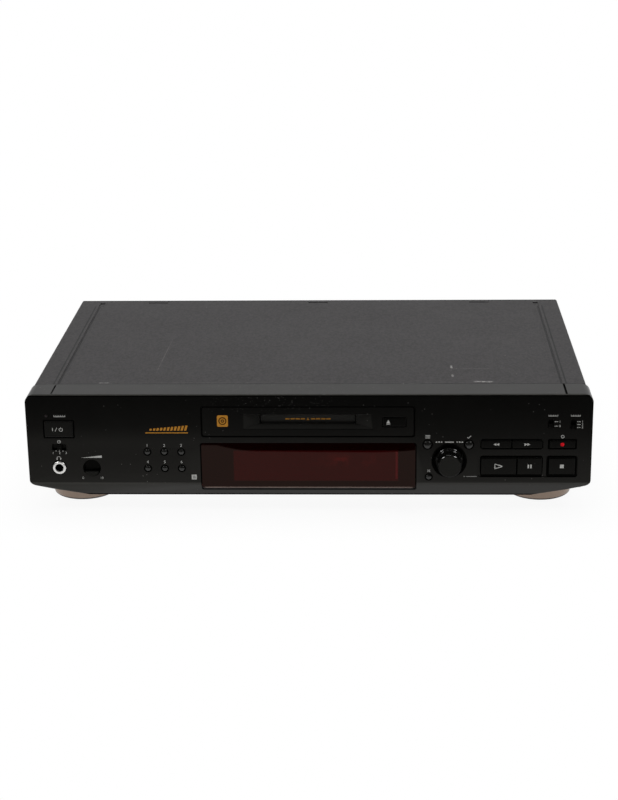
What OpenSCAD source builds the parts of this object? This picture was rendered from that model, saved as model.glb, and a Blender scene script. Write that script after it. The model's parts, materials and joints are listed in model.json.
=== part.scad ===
// Full-width disc-cartridge deck for a hi-fi rack: a sheet-steel case, a moulded front
// panel with its controls, and the loading mechanism, boards and sockets inside.
// Millimetres. X runs to the right seen from the front, Y to the back, Z up.
// The origin is the bottom centre of the whole deck.

/* [Case] */
// Overall width, across the front panel
deck_w = 430; // [424:1:450]
// Overall depth, from the jog knob's face to the ends of the rear sockets
deck_d = 285; // [282:1:320]
// Overall height, feet included
deck_h = 95; // [94:1:106]
// Thickness of the sheet steel
sheet_t = 1; // [0.8:0.1:1.2]
// How far the front panel stands out past each side of the cover
side_step = 3; // [2.4:0.1:4]
// Bend radius of the cover's long edges
cover_bend_r = 2; // [1.5:0.5:4]
// Height of the lip that the cover folds down over the rear panel
cover_lip_h = 10; // [8:0.5:14]
// Width of the long pressed grooves in the cover
groove_w = 4.4; // [3:0.2:6]
// Depth of the pressed grooves
groove_depth = 0.5; // [0.3:0.05:0.6]
// Distance of each groove from the cover's side
groove_inset = 20; // [16:0.5:30]
// Distance of the hook slots from the cover's rear edge
hook_inset = 7.7; // [6:0.1:9]
// Distance of the outer hook slots from the middle
hook_pitch = 142.6; // [120:0.2:150]
// Length of each hook slot
hook_w = 17; // [12:0.5:22]
// Height of the chassis tray's side flanges
flange_h = 24; // [18:1:30]

/* [Feet] */
// Height of the feet
foot_h = 10; // [8:0.5:12]
// Diameter across a foot's lower edge
foot_d = 50; // [44:0.5:52]
// How much wider a foot is at its top
foot_flare = 2; // [0:0.2:4]
// Distance of the feet from the deck's middle plane
foot_x = 179.5; // [168:0.5:182]
// Distance of the front feet behind the panel's face
foot_front = 47.5; // [44:0.5:60]
// Distance of the rear feet in front of the rear panel
foot_rear = 30; // [28:0.5:60]
// Diameter of the rubber pad under a foot
pad_d = 30; // [26:0.5:32]

/* [Front panel] */
// Depth of the panel's ledge, from its face back to the cover
panel_depth = 26; // [25:0.5:34]
// Wall thickness of the moulded panel
panel_wall = 2.5; // [2.3:0.1:3]
// Radius of the upper corners of the face
panel_corner_r = 6.5; // [4:0.5:9]
// Radius of the lower corners of the face
panel_lower_r = 6; // [4:0.5:8]
// Bevel along the top front edge
panel_bevel = 1.2; // [0.6:0.1:2]
// Height of the sloping chin below the face
chin_h = 14; // [12:0.5:15]
// How far the chin slopes back
chin_back = 10; // [8:0.5:12]
// Width of the chin's level lower edge, between its rising ends
chin_flat_w = 340; // [330:2:350]

/* [Slot panel] */
// Width of the inset panel round the cartridge slot
slot_panel_w = 161.4; // [158:0.2:162]
// Height of the inset panel
slot_panel_h = 23.8; // [23:0.2:24]
// Height of the slot's middle below the top edge
slot_down = 20.8; // [20.4:0.1:21.2]
// Width of the cartridge slot
slot_w = 73.4; // [73:0.1:74]
// Height of the cartridge slot
slot_h = 6.8; // [6.4:0.1:7]
// Width of the flared mouth in front of the slot
mouth_w = 98.6; // [94:0.2:104]
// Height of the flared mouth
mouth_h = 12.4; // [11:0.2:13]
// Depth of the flared mouth
mouth_depth = 4.8; // [4.4:0.1:5.2]
// Distance of the eject button from the middle
eject_x = 65.65; // [64:0.05:67]
// Width of the eject button's opening
eject_w = 18.1; // [16:0.1:19]
// Height of the eject button's opening
eject_h = 8; // [6:0.1:9]

/* [Display] */
// Width of the display window
window_w = 163.4; // [161:0.2:164]
// Height of the display window
window_h = 36.9; // [36:0.1:37.5]
// Distance of the window's upper edge below the top edge
window_down = 39.1; // [38.8:0.1:39.6]
// Thickness of the window
window_t = 3; // [2.9:0.1:3.4]
// Width of the display tube's glass
tube_w = 136; // [120:1:140]
// Height of the display tube's glass
tube_h = 26; // [20:0.5:28]

/* [Left controls] */
// Distance of the power button from the left side
power_in = 24.9; // [24:0.1:30]
// Distance of the power button below the top edge
power_down = 27.65; // [26:0.05:29]
// Width of the power button's opening
power_w = 23; // [20:0.2:26]
// Height of the power button's opening
power_h = 13.7; // [11:0.1:14.5]
// Diameter of the standby lens
standby_d = 1.8; // [1.4:0.1:3]
// Distance of the timer switch from the left side
timer_in = 24.5; // [24:0.1:28]
// Distance of the timer switch below the top edge
timer_down = 42.3; // [41.5:0.1:43]
// Width of the timer switch's slot
timer_w = 11; // [10:0.1:12]
// Distance of the headphone socket from the left side
phones_in = 23.7; // [22:0.1:26]
// Distance of the headphone socket below the top edge
phones_down = 59; // [57.5:0.1:60]
// Diameter of the headphone socket's hole
phones_hole_d = 6.4; // [6.36:0.02:6.6]
// Diameter of the headphone socket's bright ring
phones_ring_d = 10.4; // [9:0.1:12]
// Distance of the phone level knob from the left side
level_in = 48.8; // [47:0.1:52]
// Distance of the phone level knob below the top edge
level_down = 59.2; // [57:0.1:61]
// Diameter of the phone level knob's well
level_d = 13.6; // [12:0.1:15]
// Diameter of the holes of the six small buttons
small_d = 5.3; // [4.8:0.1:6]
// Distance of the six small buttons' first column from the middle
small_x = 123; // [120:0.2:126]
// Pitch of the small buttons' columns
small_pitch_x = 13; // [12:0.1:14]
// Distance of the small buttons' first row below the top edge
small_down = 46.1; // [44:0.1:47]
// Pitch of the small buttons' rows
small_pitch_z = 13.4; // [12:0.1:14]

/* [Right controls] */
// Distance of the jog knob from the middle
jog_x = 107.3; // [107:0.1:109]
// Distance of the jog knob below the top edge
jog_down = 53.2; // [52:0.1:54]
// Diameter of the well round the jog knob, at the face
jog_well_d = 27; // [26:0.1:28]
// Diameter of the jog knob
jog_d = 18; // [16:0.1:19]
// Diameter of the jog knob's skirt, inside the well
jog_skirt_d = 20.8; // [20:0.1:21.4]
// How far the jog knob stands out of the face
knob_reach = 12.6; // [10:0.1:15]
// Diameter of the holes of the menu and yes buttons
menu_d = 7; // [6:0.1:7.4]
// Diameter of the clear button's hole
clear_d = 5.2; // [4.8:0.1:6]
// Distance of the key block's left edge from the right side
keys_in = 84.2; // [83.4:0.1:84.6]
// Width of the opening of the rewind and forward buttons, and of play and pause
pair_w = 47.4; // [46:0.1:48]
// Width of the opening of the record and stop buttons
single_w = 20.9; // [19:0.1:21.4]
// Gap between the two openings in each row
pair_gap = 4; // [3.4:0.1:5]
// Distance of the upper row below the top edge
upper_down = 39.8; // [39:0.1:40.4]
// Height of the upper row's openings
upper_h = 7.4; // [6.4:0.1:8]
// Distance of the lower row below the top edge
lower_down = 57.15; // [56.8:0.05:57.6]
// Height of the lower row's openings
lower_h = 14.5; // [13:0.1:15]
// How far the lower row's buttons stand out of the face
lower_proud = 1.6; // [1:0.1:2.5]
// Depth of the shallow tray round the lower row
tray_depth = 0.8; // [0.5:0.1:1.2]
// Distance of the record mode switch from the right side
mode_in = 31.5; // [30:0.1:34]
// Distance of the input switch from the right side
input_in = 14.6; // [13:0.1:16]
// Width of the two upright switch slots
upright_w = 4; // [3.6:0.1:4.4]
// Distance of the upright slots' upper ends below the top edge
upright_down = 19.9; // [19:0.1:21]
// Height of the record mode switch's slot
mode_h = 6.6; // [6.2:0.1:7]
// Height of the input switch's slot
input_h = 7.6; // [7.2:0.1:8]

/* [Running gaps] */
// Gap between a button and its opening
button_gap = 0.45; // [0.2:0.05:0.5]
// Gap between pieces that lie face to face
seat_gap = 0.1; // [0.05:0.01:0.2]
// Travel of the push buttons
button_travel = 0.6; // [0.3:0.1:0.8]
// Radial gap of a shaft that turns or slides in its bore
shaft_gap = 0.06; // [0.02:0.01:0.1]

/* [Mechanism] */
// Width of the disc cartridge that the deck takes
cartridge_w = 72; // [70:0.5:72.5]
// Depth of the disc cartridge
cartridge_d = 68; // [66:0.5:70]
// Distance of the loaded cartridge behind the panel's face
load_depth = 18; // [17:0.5:22]
// How far the holder sinks to bring the disc onto the turntable
sink = 7; // [6:0.5:7.5]
// Thickness of the holder's sheet steel
holder_t = 1; // [0.8:0.1:1.2]
// Travel of the optical pickup, from the innermost to the outermost track
pickup_travel = 17; // [15:0.5:18]
// Diameter of the turntable
turntable_d = 18; // [15:0.5:18.6]
// Number of teeth on the loading gear
gear_teeth = 24; // [24:2:28]
// Number of teeth on the loading motor's pinion
pinion_teeth = 10; // [10:2:12]
// Gear module, the pitch diameter of one tooth
gear_module = 0.5; // [0.4:0.05:0.55]

/* [Rear sockets] */
// How far the phono sockets stand out of the rear panel
socket_reach = 8.4; // [7.5:0.1:9]
// Diameter of a phono socket's barrel
phono_d = 8.3; // [8:0.05:8.4]
// Pitch of the phono sockets
phono_pitch = 18; // [16:0.5:20]
// Height of the lower row of sockets above the chassis floor
socket_up = 22; // [20:0.5:26]

/* [Hidden] */
$fn = 48;
eps = 0.01;

// Planes of the case
half_w = deck_w / 2;
face_y = -deck_d / 2 + knob_reach;
panel_back_y = face_y + panel_depth;
rear_y = deck_d / 2 - socket_reach;
cover_rear_y = rear_y + sheet_t;
cover_x = half_w - side_step;
cover_front_y = panel_back_y + 2 * seat_gap;
floor_z = foot_h + sheet_t;
chassis_x = cover_x - sheet_t - 0.3;
bulkhead_y = panel_back_y + 2 * seat_gap;
board_gap = 13;
board_y = face_y + board_gap;
board_t = 1.6;
wall_y = face_y + panel_wall;

// Heights and places on the face, from its edges
function below_top(d) = deck_h - d;
function from_left(d) = -half_w + d;
function from_right(d) = half_w - d;

slot_z = below_top(slot_down);
window_z = below_top(window_down + window_h / 2);
power_pos = [from_left(power_in), below_top(power_down)];
standby_pos = [from_left(power_in - 9.2), below_top(power_down - power_h / 2 - 3.8)];
timer_pos = [from_left(timer_in), below_top(timer_down)];
phones_pos = [from_left(phones_in), below_top(phones_down)];
level_pos = [from_left(level_in), below_top(level_down)];
function small_pos(i) = [
    -small_x + (i % 3) * small_pitch_x,
    below_top(small_down + floor(i / 3) * small_pitch_z)
];
jog_pos = [jog_x, below_top(jog_down)];
menu_pos = [jog_x - 16.4, below_top(jog_down - 13.1)];
yes_pos = [jog_x + 14.8, below_top(jog_down - 13.1)];
clear_pos = [jog_x - 15.4, below_top(jog_down + 13.1)];
keys_x = from_right(keys_in);
pair_x = keys_x + pair_w / 2;
single_x = keys_x + pair_w + pair_gap + single_w / 2;
upper_z = below_top(upper_down);
lower_z = below_top(lower_down);
key_split = 0.35;
upper_split_x = pair_x;
lower_split_x = pair_x + 4.1;
mode_pos = [from_right(mode_in), below_top(upright_down + mode_h / 2)];
input_pos = [from_right(input_in), below_top(upright_down + input_h / 2)];
eject_pos = [eject_x, slot_z - 1.2];

// Slide switches: size of the knob and of the plate behind the wall
slide_knob = 2.8;
timer_h = 5.1;
timer_knob = 3.6;
timer_travel = (timer_w - timer_knob) / 2 - 0.5;
mode_travel = mode_h - slide_knob - 0.4;
input_travel = input_h - slide_knob - 0.4;

// Depth of buttons behind the wall
flange_t = 1;
flange_out = 0.9;
switch_top_y = board_y - 4.4;
plunger_end_y = switch_top_y - button_travel - 0.1;

// Wells and holes
jog_bore_d = jog_skirt_d + 1.4;
jog_cup_back = face_y + 8;
encoder_y = board_y - 4.6;
shaft_r = 2.5;
plunger_r = 3.4;
encoder_bore_r = plunger_r + shaft_gap;

// Cartridge bay and mechanism
bay_clear = 0.6;
bay_x = cartridge_w / 2 + bay_clear;
bay_front_y = face_y + load_depth;
bay_rear_y = bay_front_y + cartridge_d + 1;
disc_y = bay_front_y + cartridge_d / 2;
bay_h = 6;
holder_out_x = bay_x + holder_t;
bay_low_z = slot_z - bay_h / 2;
bay_top_z = slot_z + bay_h / 2;
holder_top_z = bay_top_z + holder_t;
holder_low_z = bay_low_z - holder_t;
frame_t = 2;
frame_z = holder_low_z - sink - 9.2;
frame_floor_z = frame_z + frame_t;
frame_left_x = -holder_out_x - 10.2;
frame_right_x = holder_out_x + 28.4;
frame_front_y = board_y + board_t + 2.3;
frame_rear_y = bay_rear_y + 48;
frame_wall_top = slot_z + 11;
damper_h = 4;
bracket_top_z = frame_z - damper_h;
cam_x = -holder_out_x - 4.2;
cam_t = 1.5;
cam_travel = 2 * sink;
cam_low_z = frame_floor_z + 1.5;
pin_r = 1;
pin_gap = 0.15;
cam_pin_y = [bay_front_y + 20, bay_rear_y - 12];
post_pin_y = [bay_front_y + 7, bay_rear_y - 4];
post_x = [holder_out_x + 1, holder_out_x + 2.8];
gear_r = gear_module * gear_teeth / 2;
pinion_r = gear_module * pinion_teeth / 2;
mesh_gap = 0.12;
gear_h = 3;
gear_z = frame_floor_z + 2.2;
rack_x = cam_x + 2.4;
gear_x = rack_x + gear_r + mesh_gap;
gear_y = bay_rear_y + 14;
pinion_x = gear_x + gear_r + pinion_r + mesh_gap;

// Pickup, its rods and screw
sled_in_x = turntable_d / 2 + 3.5;
sled_w = 21.5;
sled_low_z = frame_floor_z + 1.5;
sled_h = 4.5;
rod_r = 1.5;
rod_z = sled_low_z + sled_h / 2 - 0.2;
rod_y = [disc_y - 16, disc_y + 12];
rod_block_x = [turntable_d / 2, turntable_d / 2 + 2];
rod_end_x = sled_in_x + sled_w + pickup_travel + 5;
screw_y = disc_y + 22;
screw_r = 1.5;
motor_r = 4;
screw_z = frame_floor_z + motor_r + 0.1;
arm_pivot_x = holder_out_x + 5;
arm_pivot_z = holder_top_z + 3.1;
arm_w = 8;
upright_x = [arm_pivot_x - 1.25, arm_pivot_x + 1.25];

// Boards and rear sockets
standoff_h = 7;
deck_board_z = floor_z + standoff_h;
socket_z = floor_z + socket_up;
analog_x = from_right(40);
coax_x = analog_x - 2 * phono_pitch - 4;
optical_x = [coax_x - 24, coax_x - 42];
optical_w = 13;
optical_hole = 8.2;
optical_depth = 6;
inlet_x = from_left(32);
inlet_w = 20;
inlet_h = 9;
inlet_depth = 14;
inlet_pin = 8.6;

// Colours of the finished pieces
paint_black = [0.31, 0.30, 0.30];
plastic_black = [0.11, 0.11, 0.10];
smoked_red = [0.2, 0.09, 0.1];
champagne = [0.62, 0.5, 0.4];
rubber_black = [0.07, 0.07, 0.07];
zinc = [0.72, 0.73, 0.75];
steel = [0.6, 0.61, 0.63];
board_green = [0.16, 0.34, 0.2];
copper = [0.72, 0.45, 0.2];
grey_plastic = [0.35, 0.35, 0.36];
white_plastic = [0.86, 0.85, 0.8];
brass = [0.8, 0.66, 0.35];

// ---- Shape helpers ----

// A box from three pairs of limits
module box(x, y, z)
    translate([x[0], y[0], z[0]])
        cube([x[1] - x[0], y[1] - y[0], z[1] - z[0]]);

// A flat shape drawn in X and Z, drawn out along Y
module along_y(y0, y1)
    translate([0, y1, 0]) rotate([90, 0, 0]) linear_extrude(y1 - y0) children();

// A flat shape drawn in Y and Z, drawn out along X
module along_x(x0, x1)
    translate([x0, 0, 0]) rotate([90, 0, 90]) linear_extrude(x1 - x0) children();

// Round bars along each axis
module rod_along_y(pos, y0, y1, r)
    translate([pos[0], y0, pos[1]]) rotate([-90, 0, 0]) cylinder(h = y1 - y0, r = r);

module rod_along_x(x0, x1, y, z, r)
    translate([x0, y, z]) rotate([0, 90, 0]) cylinder(h = x1 - x0, r = r);

module rod_along_z(x, y, z0, z1, r)
    translate([x, y, z0]) cylinder(h = z1 - z0, r = r);

// A rectangle with true round corners, on its middle
module rounded_rect(w, h, r) {
    square([w - 2 * r, h], center = true);
    square([w, h - 2 * r], center = true);
    for (sx = [-1, 1], sz = [-1, 1])
        translate([sx * (w / 2 - r), sz * (h / 2 - r)]) circle(r);
}

// A slab with round corners that faces the front
module front_slab(pos, w, h, r, y0, y1)
    along_y(y0, y1) translate(pos) rounded_rect(w, h, r);

// Points on an arc, for outlines that must stay polygons
function arc(centre, r, a0, a1, steps) = [
    for (i = [0 : steps])
        centre + r * [cos(a0 + (a1 - a0) * i / steps), sin(a0 + (a1 - a0) * i / steps)]
];

function mirrored(points) = [
    for (i = [len(points) - 1 : -1 : 0]) [-points[i][0], points[i][1]]
];

// ---- Case ----

hook_x = [-hook_pitch, 0, hook_pitch];
hook_y = cover_rear_y - hook_inset;
groove_x = cover_x - groove_inset;
side_screw_y = [cover_front_y + 36, rear_y - 44];
side_screw_z = floor_z + flange_h / 2;
rear_screw_z = deck_h - cover_lip_h / 2 - sheet_t / 2;
screw_r_case = 1.45;
screw_hole_r = screw_r_case + 0.1;

module cover_section(inset) {
    w = cover_x - inset;
    r = cover_bend_r - inset;
    top = deck_h - inset;
    translate([-w, foot_h + 0.5 - 2 * inset]) square([2 * w, top - r - foot_h - 0.5 + 2 * inset]);
    translate([-w + r, top - r - eps]) square([2 * (w - r), r + eps]);
    for (sx = [-1, 1]) translate([sx * (w - r), top - r]) circle(r);
}

module top_cover() {
    groove_y = [cover_front_y + 0.8, hook_y - 0.6];
    color(paint_black) difference() {
        union() {
            difference() {
                along_y(cover_front_y, cover_rear_y) cover_section(0);
                along_y(cover_front_y - 1, cover_rear_y + 1) cover_section(sheet_t);
            }
            box([-chassis_x, chassis_x], [rear_y, cover_rear_y],
                [deck_h - cover_lip_h, deck_h - sheet_t / 2]);
        }
        for (sx = [-1, 1]) {
            box([sx * groove_x - groove_w / 2, sx * groove_x + groove_w / 2],
                groove_y, [deck_h - groove_depth, deck_h + 1]);
            box([sx * groove_x - groove_w / 2, sx * groove_x + groove_w / 2],
                [groove_y[1] - 1.6, groove_y[1]], [deck_h - 2 * sheet_t, deck_h + 1]);
        }
        for (x = hook_x)
            box([x - hook_w / 2, x + hook_w / 2], [hook_y - 1.1, hook_y + 1.1],
                [deck_h - 2 * sheet_t, deck_h + 1]);
        for (y = side_screw_y)
            rod_along_x(-half_w, half_w, y, side_screw_z, screw_hole_r);
        for (x = hook_x)
            rod_along_y([x, rear_screw_z], rear_y - 1, cover_rear_y + 1, screw_hole_r);
    }
}

foot_places = [
    for (sx = [-1, 1], y = [face_y + foot_front, rear_y - foot_rear]) [sx * foot_x, y]
];
main_board_x = [85, chassis_x - 8];
main_board_y = [bulkhead_y + 14, rear_y - sheet_t - 4];
wing_d = 70;
wing_y = rear_y - wing_d;
wing_x = 20;
power_board_x = [-chassis_x + 8, -96];
power_board_front = bulkhead_y + 10;
power_board_d = 112;
power_board_y = [power_board_front, power_board_front + power_board_d];
transformer_in = 58;
transformer_rear = 66;
transformer_pos = [-chassis_x + transformer_in, rear_y - transformer_rear];
cable_gap_w = 38;
standoffs = [
    for (x = [main_board_x[0] + 5, main_board_x[1] - 5],
         y = [main_board_y[0] + 5, main_board_y[1] - 20]) [x, y],
    for (x = [power_board_x[0] + 5, power_board_x[1] - 5],
         y = [power_board_y[0] + 5, power_board_y[1] - 5]) [x, y],
    [wing_x + 5, main_board_y[1] - 20]
];
bracket_y = [frame_front_y + 14, frame_rear_y - 6];
bracket_feet = [
    for (x = [frame_left_x - 5, frame_right_x + 5], y = [bracket_y[0] + 8, bracket_y[1] - 8]) [x, y]
];
transformer_feet = [
    for (sx = [-1, 1], sy = [-1, 1])
        [transformer_pos[0] + sx * 39, transformer_pos[1] + sy * 18]
];
pilot_r = 1.15;
inner_screw_r = 1.05;

module chassis_base() {
    rear_flange_y = rear_y - sheet_t - seat_gap;
    color(zinc) difference() {
        union() {
            box([-chassis_x, chassis_x], [bulkhead_y, rear_flange_y], [foot_h, floor_z]);
            for (sx = [-1, 1])
                mirror([sx < 0 ? 1 : 0, 0, 0])
                    box([chassis_x - sheet_t, chassis_x], [bulkhead_y, rear_flange_y],
                        [foot_h, floor_z + flange_h]);
            box([-chassis_x, chassis_x], [rear_flange_y - sheet_t, rear_flange_y],
                [foot_h, floor_z + 8]);
            for (p = standoffs) rod_along_z(p[0], p[1], floor_z - eps, deck_board_z, 3);
        }
        for (p = standoffs)
            rod_along_z(p[0], p[1], floor_z, deck_board_z + 1, pilot_r);
        for (p = concat(bracket_feet, transformer_feet))
            rod_along_z(p[0], p[1], foot_h - 1, floor_z + 1, pilot_r);
        for (p = foot_places) rod_along_z(p[0], p[1], foot_h - 1, floor_z + 1, screw_hole_r);
        for (y = side_screw_y)
            rod_along_x(-half_w, half_w, y, side_screw_z, screw_hole_r);
        for (x = rear_low_screw_x)
            rod_along_y([x, floor_z + 5], rear_y - 4, rear_y + 1, screw_hole_r);
    }
}

// Upright sheet behind the front, from beside the headphone socket to the far wall
module front_bulkhead() {
    x = [phones_pos[0] + 9, chassis_x - sheet_t];
    cut_y = [bulkhead_y - 1, bulkhead_y + 2 * sheet_t];
    color(zinc) difference() {
        union() {
            box(x, [bulkhead_y, bulkhead_y + sheet_t], [floor_z, deck_h - sheet_t - 1.5]);
            box(x, [bulkhead_y, bulkhead_y + 4], [floor_z, floor_z + sheet_t]);
        }
        // Openings for the mechanism and the flat cable
        box([frame_left_x - 4, frame_right_x + 4], cut_y, [bracket_top_z - 4, deck_h]);
        box([main_board_x[0] + 8, main_board_x[0] + 8 + cable_gap_w], cut_y,
            [floor_z + 4, floor_z + 18]);
    }
}

rear_low_screw_x = [for (s = [-1, -0.33, 0.33, 1]) s * (chassis_x - 12)];
phono_places = [
    for (i = [0, 1], j = [0, 1]) [analog_x - i * phono_pitch, socket_z + j * phono_pitch],
    [coax_x, socket_z]
];

module rear_panel() {
    tab_w = hook_w - 2;
    color(zinc) difference() {
        union() {
            box([-chassis_x, chassis_x], [rear_y - sheet_t, rear_y],
                [foot_h, deck_h - sheet_t - 0.5]);
            box([-chassis_x + 2, chassis_x - 2], [hook_y - 4, rear_y],
                [deck_h - 2 * sheet_t - 0.5, deck_h - sheet_t - 0.5]);
            for (x = hook_x)
                box([x - tab_w / 2, x + tab_w / 2], [hook_y - 0.4, hook_y + 0.4],
                    [deck_h - 2 * sheet_t - 0.5, deck_h - 0.3]);
        }
        for (x = hook_x)
            rod_along_y([x, rear_screw_z], rear_y - 5, rear_y + 1, screw_hole_r);
        for (x = rear_low_screw_x)
            rod_along_y([x, floor_z + 5], rear_y - 5, rear_y + 1, screw_hole_r);
        for (p = phono_places) rod_along_y(p, rear_y - 5, rear_y + 1, phono_d / 2 + 1.3);
        for (x = optical_x)
            front_slab([x, socket_z], optical_w + 0.6, optical_w + 0.6, 0.5,
                       rear_y - 5, rear_y + 1);
        front_slab([inlet_x, socket_z], inlet_w + 6.6, inlet_h + 6.6, 1, rear_y - 5, rear_y + 1);
    }
}

// A pan-headed screw whose head's inner face is at the origin and whose shank runs up Z
module screw(shank, r, head_r, head_h) {
    rod_along_z(0, 0, -eps, shank, r);
    difference() {
        rod_along_z(0, 0, -head_h, 0, head_r);
        for (turn = [0, 90])
            rotate(turn) box([-head_r * 0.6, head_r * 0.6], [-0.35, 0.35], [-head_h - 1, -head_h / 2]);
    }
}

module case_screws() {
    head = [2.9, 1.6];
    color(rubber_black) {
        for (y = side_screw_y, sx = [-1, 1])
            translate([sx * cover_x, y, side_screw_z]) rotate([0, sx * -90, 0])
                screw(5, screw_r_case, head[0], head[1]);
        for (x = hook_x)
            translate([x, cover_rear_y, rear_screw_z]) rotate([90, 0, 0])
                screw(5, screw_r_case, head[0], head[1]);
        for (x = rear_low_screw_x)
            translate([x, rear_y, floor_z + 5]) rotate([90, 0, 0])
                screw(5, screw_r_case, head[0], head[1]);
        for (p = foot_places)
            translate([p[0], p[1], foot_web_z]) screw(foot_h + 2 - foot_web_z + 1.5,
                screw_r_case, head[0], head[1]);
    }
}

// ---- Feet ----

foot_web_z = 5;
pad_t = 1.8;

module feet() {
    r = foot_d / 2;
    color(champagne) for (p = foot_places)
        translate([p[0], p[1], 0]) rotate_extrude($fn = 96) polygon([
            [screw_hole_r, foot_web_z], [pad_inner_r, foot_web_z], [pad_inner_r, pad_t],
            [pad_d / 2 + 0.3, pad_t], [pad_d / 2 + 0.3, 0.4], [r - 1, 0.4], [r, 1.4],
            [r + foot_flare / 2, foot_h - 1.5], [r + foot_flare / 2 - 1.2, foot_h],
            [screw_hole_r, foot_h]
        ]);
}

pad_inner_r = 5;

module foot_pads() {
    color(rubber_black) for (p = foot_places)
        translate([p[0], p[1], 0]) rotate_extrude($fn = 64) polygon([
            [pad_inner_r, 0.3], [pad_inner_r + 0.3, 0], [pad_d / 2 - 0.4, 0],
            [pad_d / 2, 0.4], [pad_d / 2, pad_t], [pad_inner_r, pad_t]
        ]);
}

// ---- Front panel ----

lower_arc_z = foot_h + 16;
chin_knee = [half_w - 17.5, foot_h + 6.4];

module panel_outline(inset) {
    w = half_w - inset;
    top = deck_h - inset;
    r = panel_corner_r - inset;
    lower = concat(
        [[chin_flat_w / 2 - inset, foot_h + inset], chin_knee + [-inset / 2, inset]],
        arc([half_w - panel_lower_r, lower_arc_z], panel_lower_r - inset, -72, 0, 6)
    );
    polygon(concat(lower, mirrored(lower)));
    translate([-w, lower_arc_z - eps]) square([2 * w, top - r - lower_arc_z + eps]);
    translate([-w + r, lower_arc_z]) square([2 * (w - r), top - lower_arc_z]);
    for (sx = [-1, 1]) translate([sx * (w - r), top - r]) circle(r);
}

module panel_solid(inset, back) {
    slope = atan2(chin_back, chin_h);
    front = face_y + inset;
    bevel = inset > 0 ? 0 : panel_bevel;
    low_y = face_y + chin_back + inset * (1 - sin(slope)) / cos(slope);
    intersection() {
        along_y(face_y - 1, back + 1) panel_outline(inset);
        along_x(-half_w - 1, half_w + 1) polygon([
            [front, foot_h + chin_h + inset * tan(slope / 2)],
            [front, deck_h - inset - bevel], [front + bevel, deck_h - inset],
            [back, deck_h - inset], [back, foot_h + inset], [low_y, foot_h + inset]
        ]);
    }
}

boss_places = [
    [from_left(12), below_top(12)], [from_left(12), foot_h + 22], [-92, foot_h + 18],
    [from_right(44), below_top(12)], [from_right(8), foot_h + 17], [jog_x + 11, foot_h + 14.5],
    [-92, below_top(12)], [92, below_top(16)]
];
tray_rim = 1.6;
tray_x = (keys_x + single_x + single_w / 2) / 2;
tray_w = pair_w + pair_gap + single_w + 2 * tray_rim;
ledge_slot_x = half_w - 20.2;
through = [face_y - 1, wall_y + 1];

module wall_hole(pos, d) rod_along_y(pos, through[0], through[1], d / 2);

module wall_slot(pos, w, h, r) front_slab(pos, w, h, r, through[0], through[1]);

module front_panel() {
    color(plastic_black) difference() {
        union() {
            difference() {
                panel_solid(0, panel_back_y);
                panel_solid(panel_wall, panel_back_y + 1);
            }
            for (p = boss_places) rod_along_y(p, wall_y - eps, board_y - seat_gap, 3);
            // Cup behind the jog knob's well
            difference() {
                rod_along_y(jog_pos, wall_y - eps, jog_cup_back, jog_bore_d / 2 + 1.4);
                rod_along_y(jog_pos, wall_y - 1, jog_cup_back - 1.4, jog_bore_d / 2);
            }
        }
        for (p = boss_places) rod_along_y(p, wall_y + 0.8, board_y + 1, pilot_r);
        front_slab([0, slot_z - 1], slot_panel_w + 0.5, slot_panel_h + 0.5, 2.2,
                   through[0], through[1]);
        front_slab([0, window_z], window_w + 0.5, window_h + 0.5, 2.2,
                   through[0], face_y + chin_back + 1);
        wall_slot(power_pos, power_w, power_h, 1);
        wall_hole(standby_pos, standby_d + 0.2);
        wall_slot(timer_pos, timer_w, timer_h, 0.6);
        wall_hole(phones_pos, phones_ring_d + 0.3);
        wall_hole(level_pos, level_d);
        for (i = [0 : 5]) wall_hole(small_pos(i), small_d);
        wall_hole(menu_pos, menu_d);
        wall_hole(yes_pos, menu_d);
        wall_hole(clear_pos, clear_d);
        wall_slot(mode_pos, upright_w, mode_h, 0.6);
        wall_slot(input_pos, upright_w, input_h, 0.6);
        // Jog knob's well: flared at the face, with a hole for the shaft in the cup's floor
        translate([jog_pos[0], face_y - eps, jog_pos[1]]) rotate([-90, 0, 0])
            cylinder(h = panel_wall - 0.6, r1 = jog_well_d / 2, r2 = jog_bore_d / 2);
        rod_along_y(jog_pos, face_y, wall_y + 1, jog_bore_d / 2);
        rod_along_y(jog_pos, wall_y, jog_cup_back + 1, plunger_r + 0.9);
        // Key openings and the shallow tray round the lower row
        wall_slot([pair_x, upper_z], pair_w, upper_h, 1.6);
        wall_slot([single_x, upper_z], single_w, upper_h, 1.6);
        wall_slot([pair_x, lower_z], pair_w, lower_h, 1.6);
        wall_slot([single_x, lower_z], single_w, lower_h, 1.6);
        front_slab([tray_x, lower_z - 0.4], tray_w, lower_h + 2 * tray_rim, 2.4,
                   face_y - 1, face_y + tray_depth);
        // Narrow slots in the ledge, near both sides
        for (sx = [-1, 1])
            box([sx * ledge_slot_x - 0.5, sx * ledge_slot_x + 0.5],
                [face_y + 3, face_y + 23], [deck_h - 1.4, deck_h + 1]);
    }
}

// ---- Slot panel and flap ----

flap_pivot = [face_y + mouth_depth + 1.6, slot_z + slot_h / 2 + 1.5];
flap_r = 1.1;
flap_t = 1.2;
flap_pin_r = 0.8;
flap_half = slot_w / 2 - 0.5;

// The flared mouth: a four-sided funnel from the face back to the slot
module mouth_funnel() {
    y = [face_y - eps, face_y + mouth_depth - 1.4];
    front_z = slot_z - 0.9;
    intersection() {
        along_x(-mouth_w, mouth_w) polygon([
            [y[0], front_z - mouth_h / 2], [y[0], front_z + mouth_h / 2],
            [y[1], slot_z + slot_h / 2], [y[1], slot_z - slot_h / 2]
        ]);
        translate([0, 0, slot_z - mouth_h]) linear_extrude(2 * mouth_h) polygon([
            [-mouth_w / 2, y[0]], [mouth_w / 2, y[0]], [slot_w / 2, y[1]], [-slot_w / 2, y[1]]
        ]);
    }
}

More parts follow.
